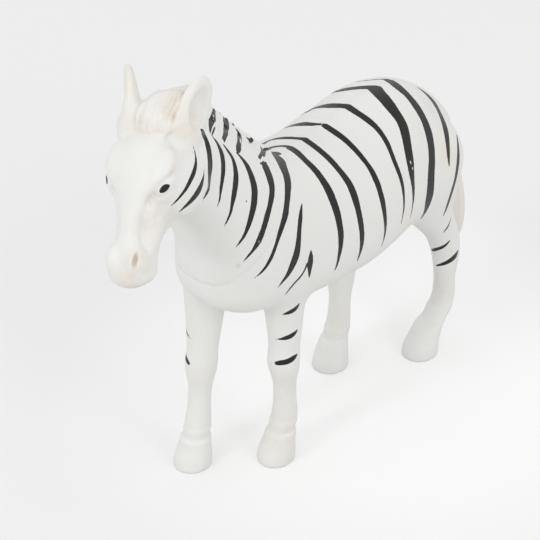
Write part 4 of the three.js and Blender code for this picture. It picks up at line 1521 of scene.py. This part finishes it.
# The tail carries no paint. It is evenly creamed, and its tuft darkens towards the end.
tail_cream = 0.2
tail_tan = 0.04
tuft_tan = 0.05
tuft_tan_from = 30
tuft_tan_over = 20
everywhere = np.ones(len(tail_points))
towards_end = np.clip((tuft_tan_from - tail_points[:, 2]) / tuft_tan_over, 0, 1)
tail_marks = {
    "paint": -paint_reach * everywhere,
    "cream": tail_cream * everywhere,
    "tan": tail_tan + tuft_tan * towards_end,
    "nostril_shade": 0 * everywhere,
}
cream_vinyl = vinyl_finish("cream_vinyl", (0.83, 0.81, 0.76))
tail = mesh_of("zebra_tail", tail_points, tail_quads, **tail_marks)
tail.data.materials.append(cream_vinyl)
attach(tail, "root")
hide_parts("tail")

# Studio: a pale paper floor that fills the view, an even sky and two broad soft lamps. To the camera the
# paper is a little paler than what it bounces on the figure, and glows most round the figure's middle.
floor_half = 3
paper_seen = 0.86
paper_bounced = 0.74
glow_tone = (0.87, 0.87, 0.87, 1)
glow_share = 0.27
glow_middle = (-0.02, 0.012, 0)
glow_from, glow_to = 0.03, 0.075
glow_inner, glow_outer = 1.5, 1.08
sky_strength = 0.85
floor_mesh = bpy.data.meshes.new("floor")
floor_corners = [(x * floor_half, y * floor_half, 0) for x, y in ((-1, -1), (1, -1), (1, 1), (-1, 1))]
floor_mesh.from_pydata(floor_corners, [], [(0, 1, 2, 3)])
floor = bpy.data.objects.new("floor", floor_mesh)
bpy.context.scene.collection.objects.link(floor)
paper = bpy.data.materials.new("paper")
paper.use_nodes = True
paper_shader = paper.node_tree.nodes["Principled BSDF"]
paper_shader.inputs["Roughness"].default_value = 1.0
paper_shader.inputs["Specular IOR Level"].default_value = 0.0
paper_tree = paper.node_tree
floor_place = linked(paper_tree, "ShaderNodeTexCoord", {}).outputs["Object"]
from_middle = linked(
    paper_tree, "ShaderNodeVectorMath", {0: floor_place, 1: glow_middle}, operation="DISTANCE"
)
brighter = linked(
    paper_tree,
    "ShaderNodeMapRange",
    {0: from_middle.outputs["Value"], 1: glow_from, 2: glow_to, 3: glow_inner, 4: glow_outer},
)
glow = linked(paper_tree, "ShaderNodeEmission", {"Color": glow_tone, "Strength": brighter.outputs[0]})
seen_ray = linked(paper_tree, "ShaderNodeLightPath", {}).outputs["Is Camera Ray"]
paper_tone = linked(
    paper_tree, "ShaderNodeMapRange", {0: seen_ray, 1: 0.0, 2: 1.0, 3: paper_bounced, 4: paper_seen}
)
paper_tree.links.new(paper_tone.outputs[0], paper_shader.inputs["Base Color"])
glow_mix = linked(paper_tree, "ShaderNodeMath", {0: seen_ray, 1: glow_share}, operation="MULTIPLY")
paper_mix = linked(
    paper_tree,
    "ShaderNodeMixShader",
    {0: glow_mix.outputs[0], 1: paper_shader.outputs[0], 2: glow.outputs[0]},
)
paper_out = next(node for node in paper_tree.nodes if node.type == "OUTPUT_MATERIAL")
paper_tree.links.new(paper_mix.outputs[0], paper_out.inputs["Surface"])
floor.data.materials.append(paper)

world = bpy.data.worlds.new("studio")
bpy.context.scene.world = world
world.use_nodes = True
world.node_tree.nodes["Background"].inputs["Color"].default_value = (1, 1, 1, 1)
world.node_tree.nodes["Background"].inputs["Strength"].default_value = sky_strength


lit_middle = (0, 0, 0.04)


def softbox(name, place, size, watts):
    """A round soft lamp that faces the figure's middle."""
    light = bpy.data.lights.new(name, "AREA")
    light.shape = "DISK"
    light.size = size
    light.energy = watts
    lamp = bpy.data.objects.new(name, light)
    lamp.location = place
    lamp.rotation_euler = (Vector(place) - Vector(lit_middle)).to_track_quat("Z", "Y").to_euler()
    bpy.context.scene.collection.objects.link(lamp)


softbox("key", (0.85, -0.1, 0.56), size=0.25, watts=1.5)
softbox("fill", (0.1, 0.85, 0.55), size=0.5, watts=1.2)
bpy.context.scene.view_settings.view_transform = "Standard"
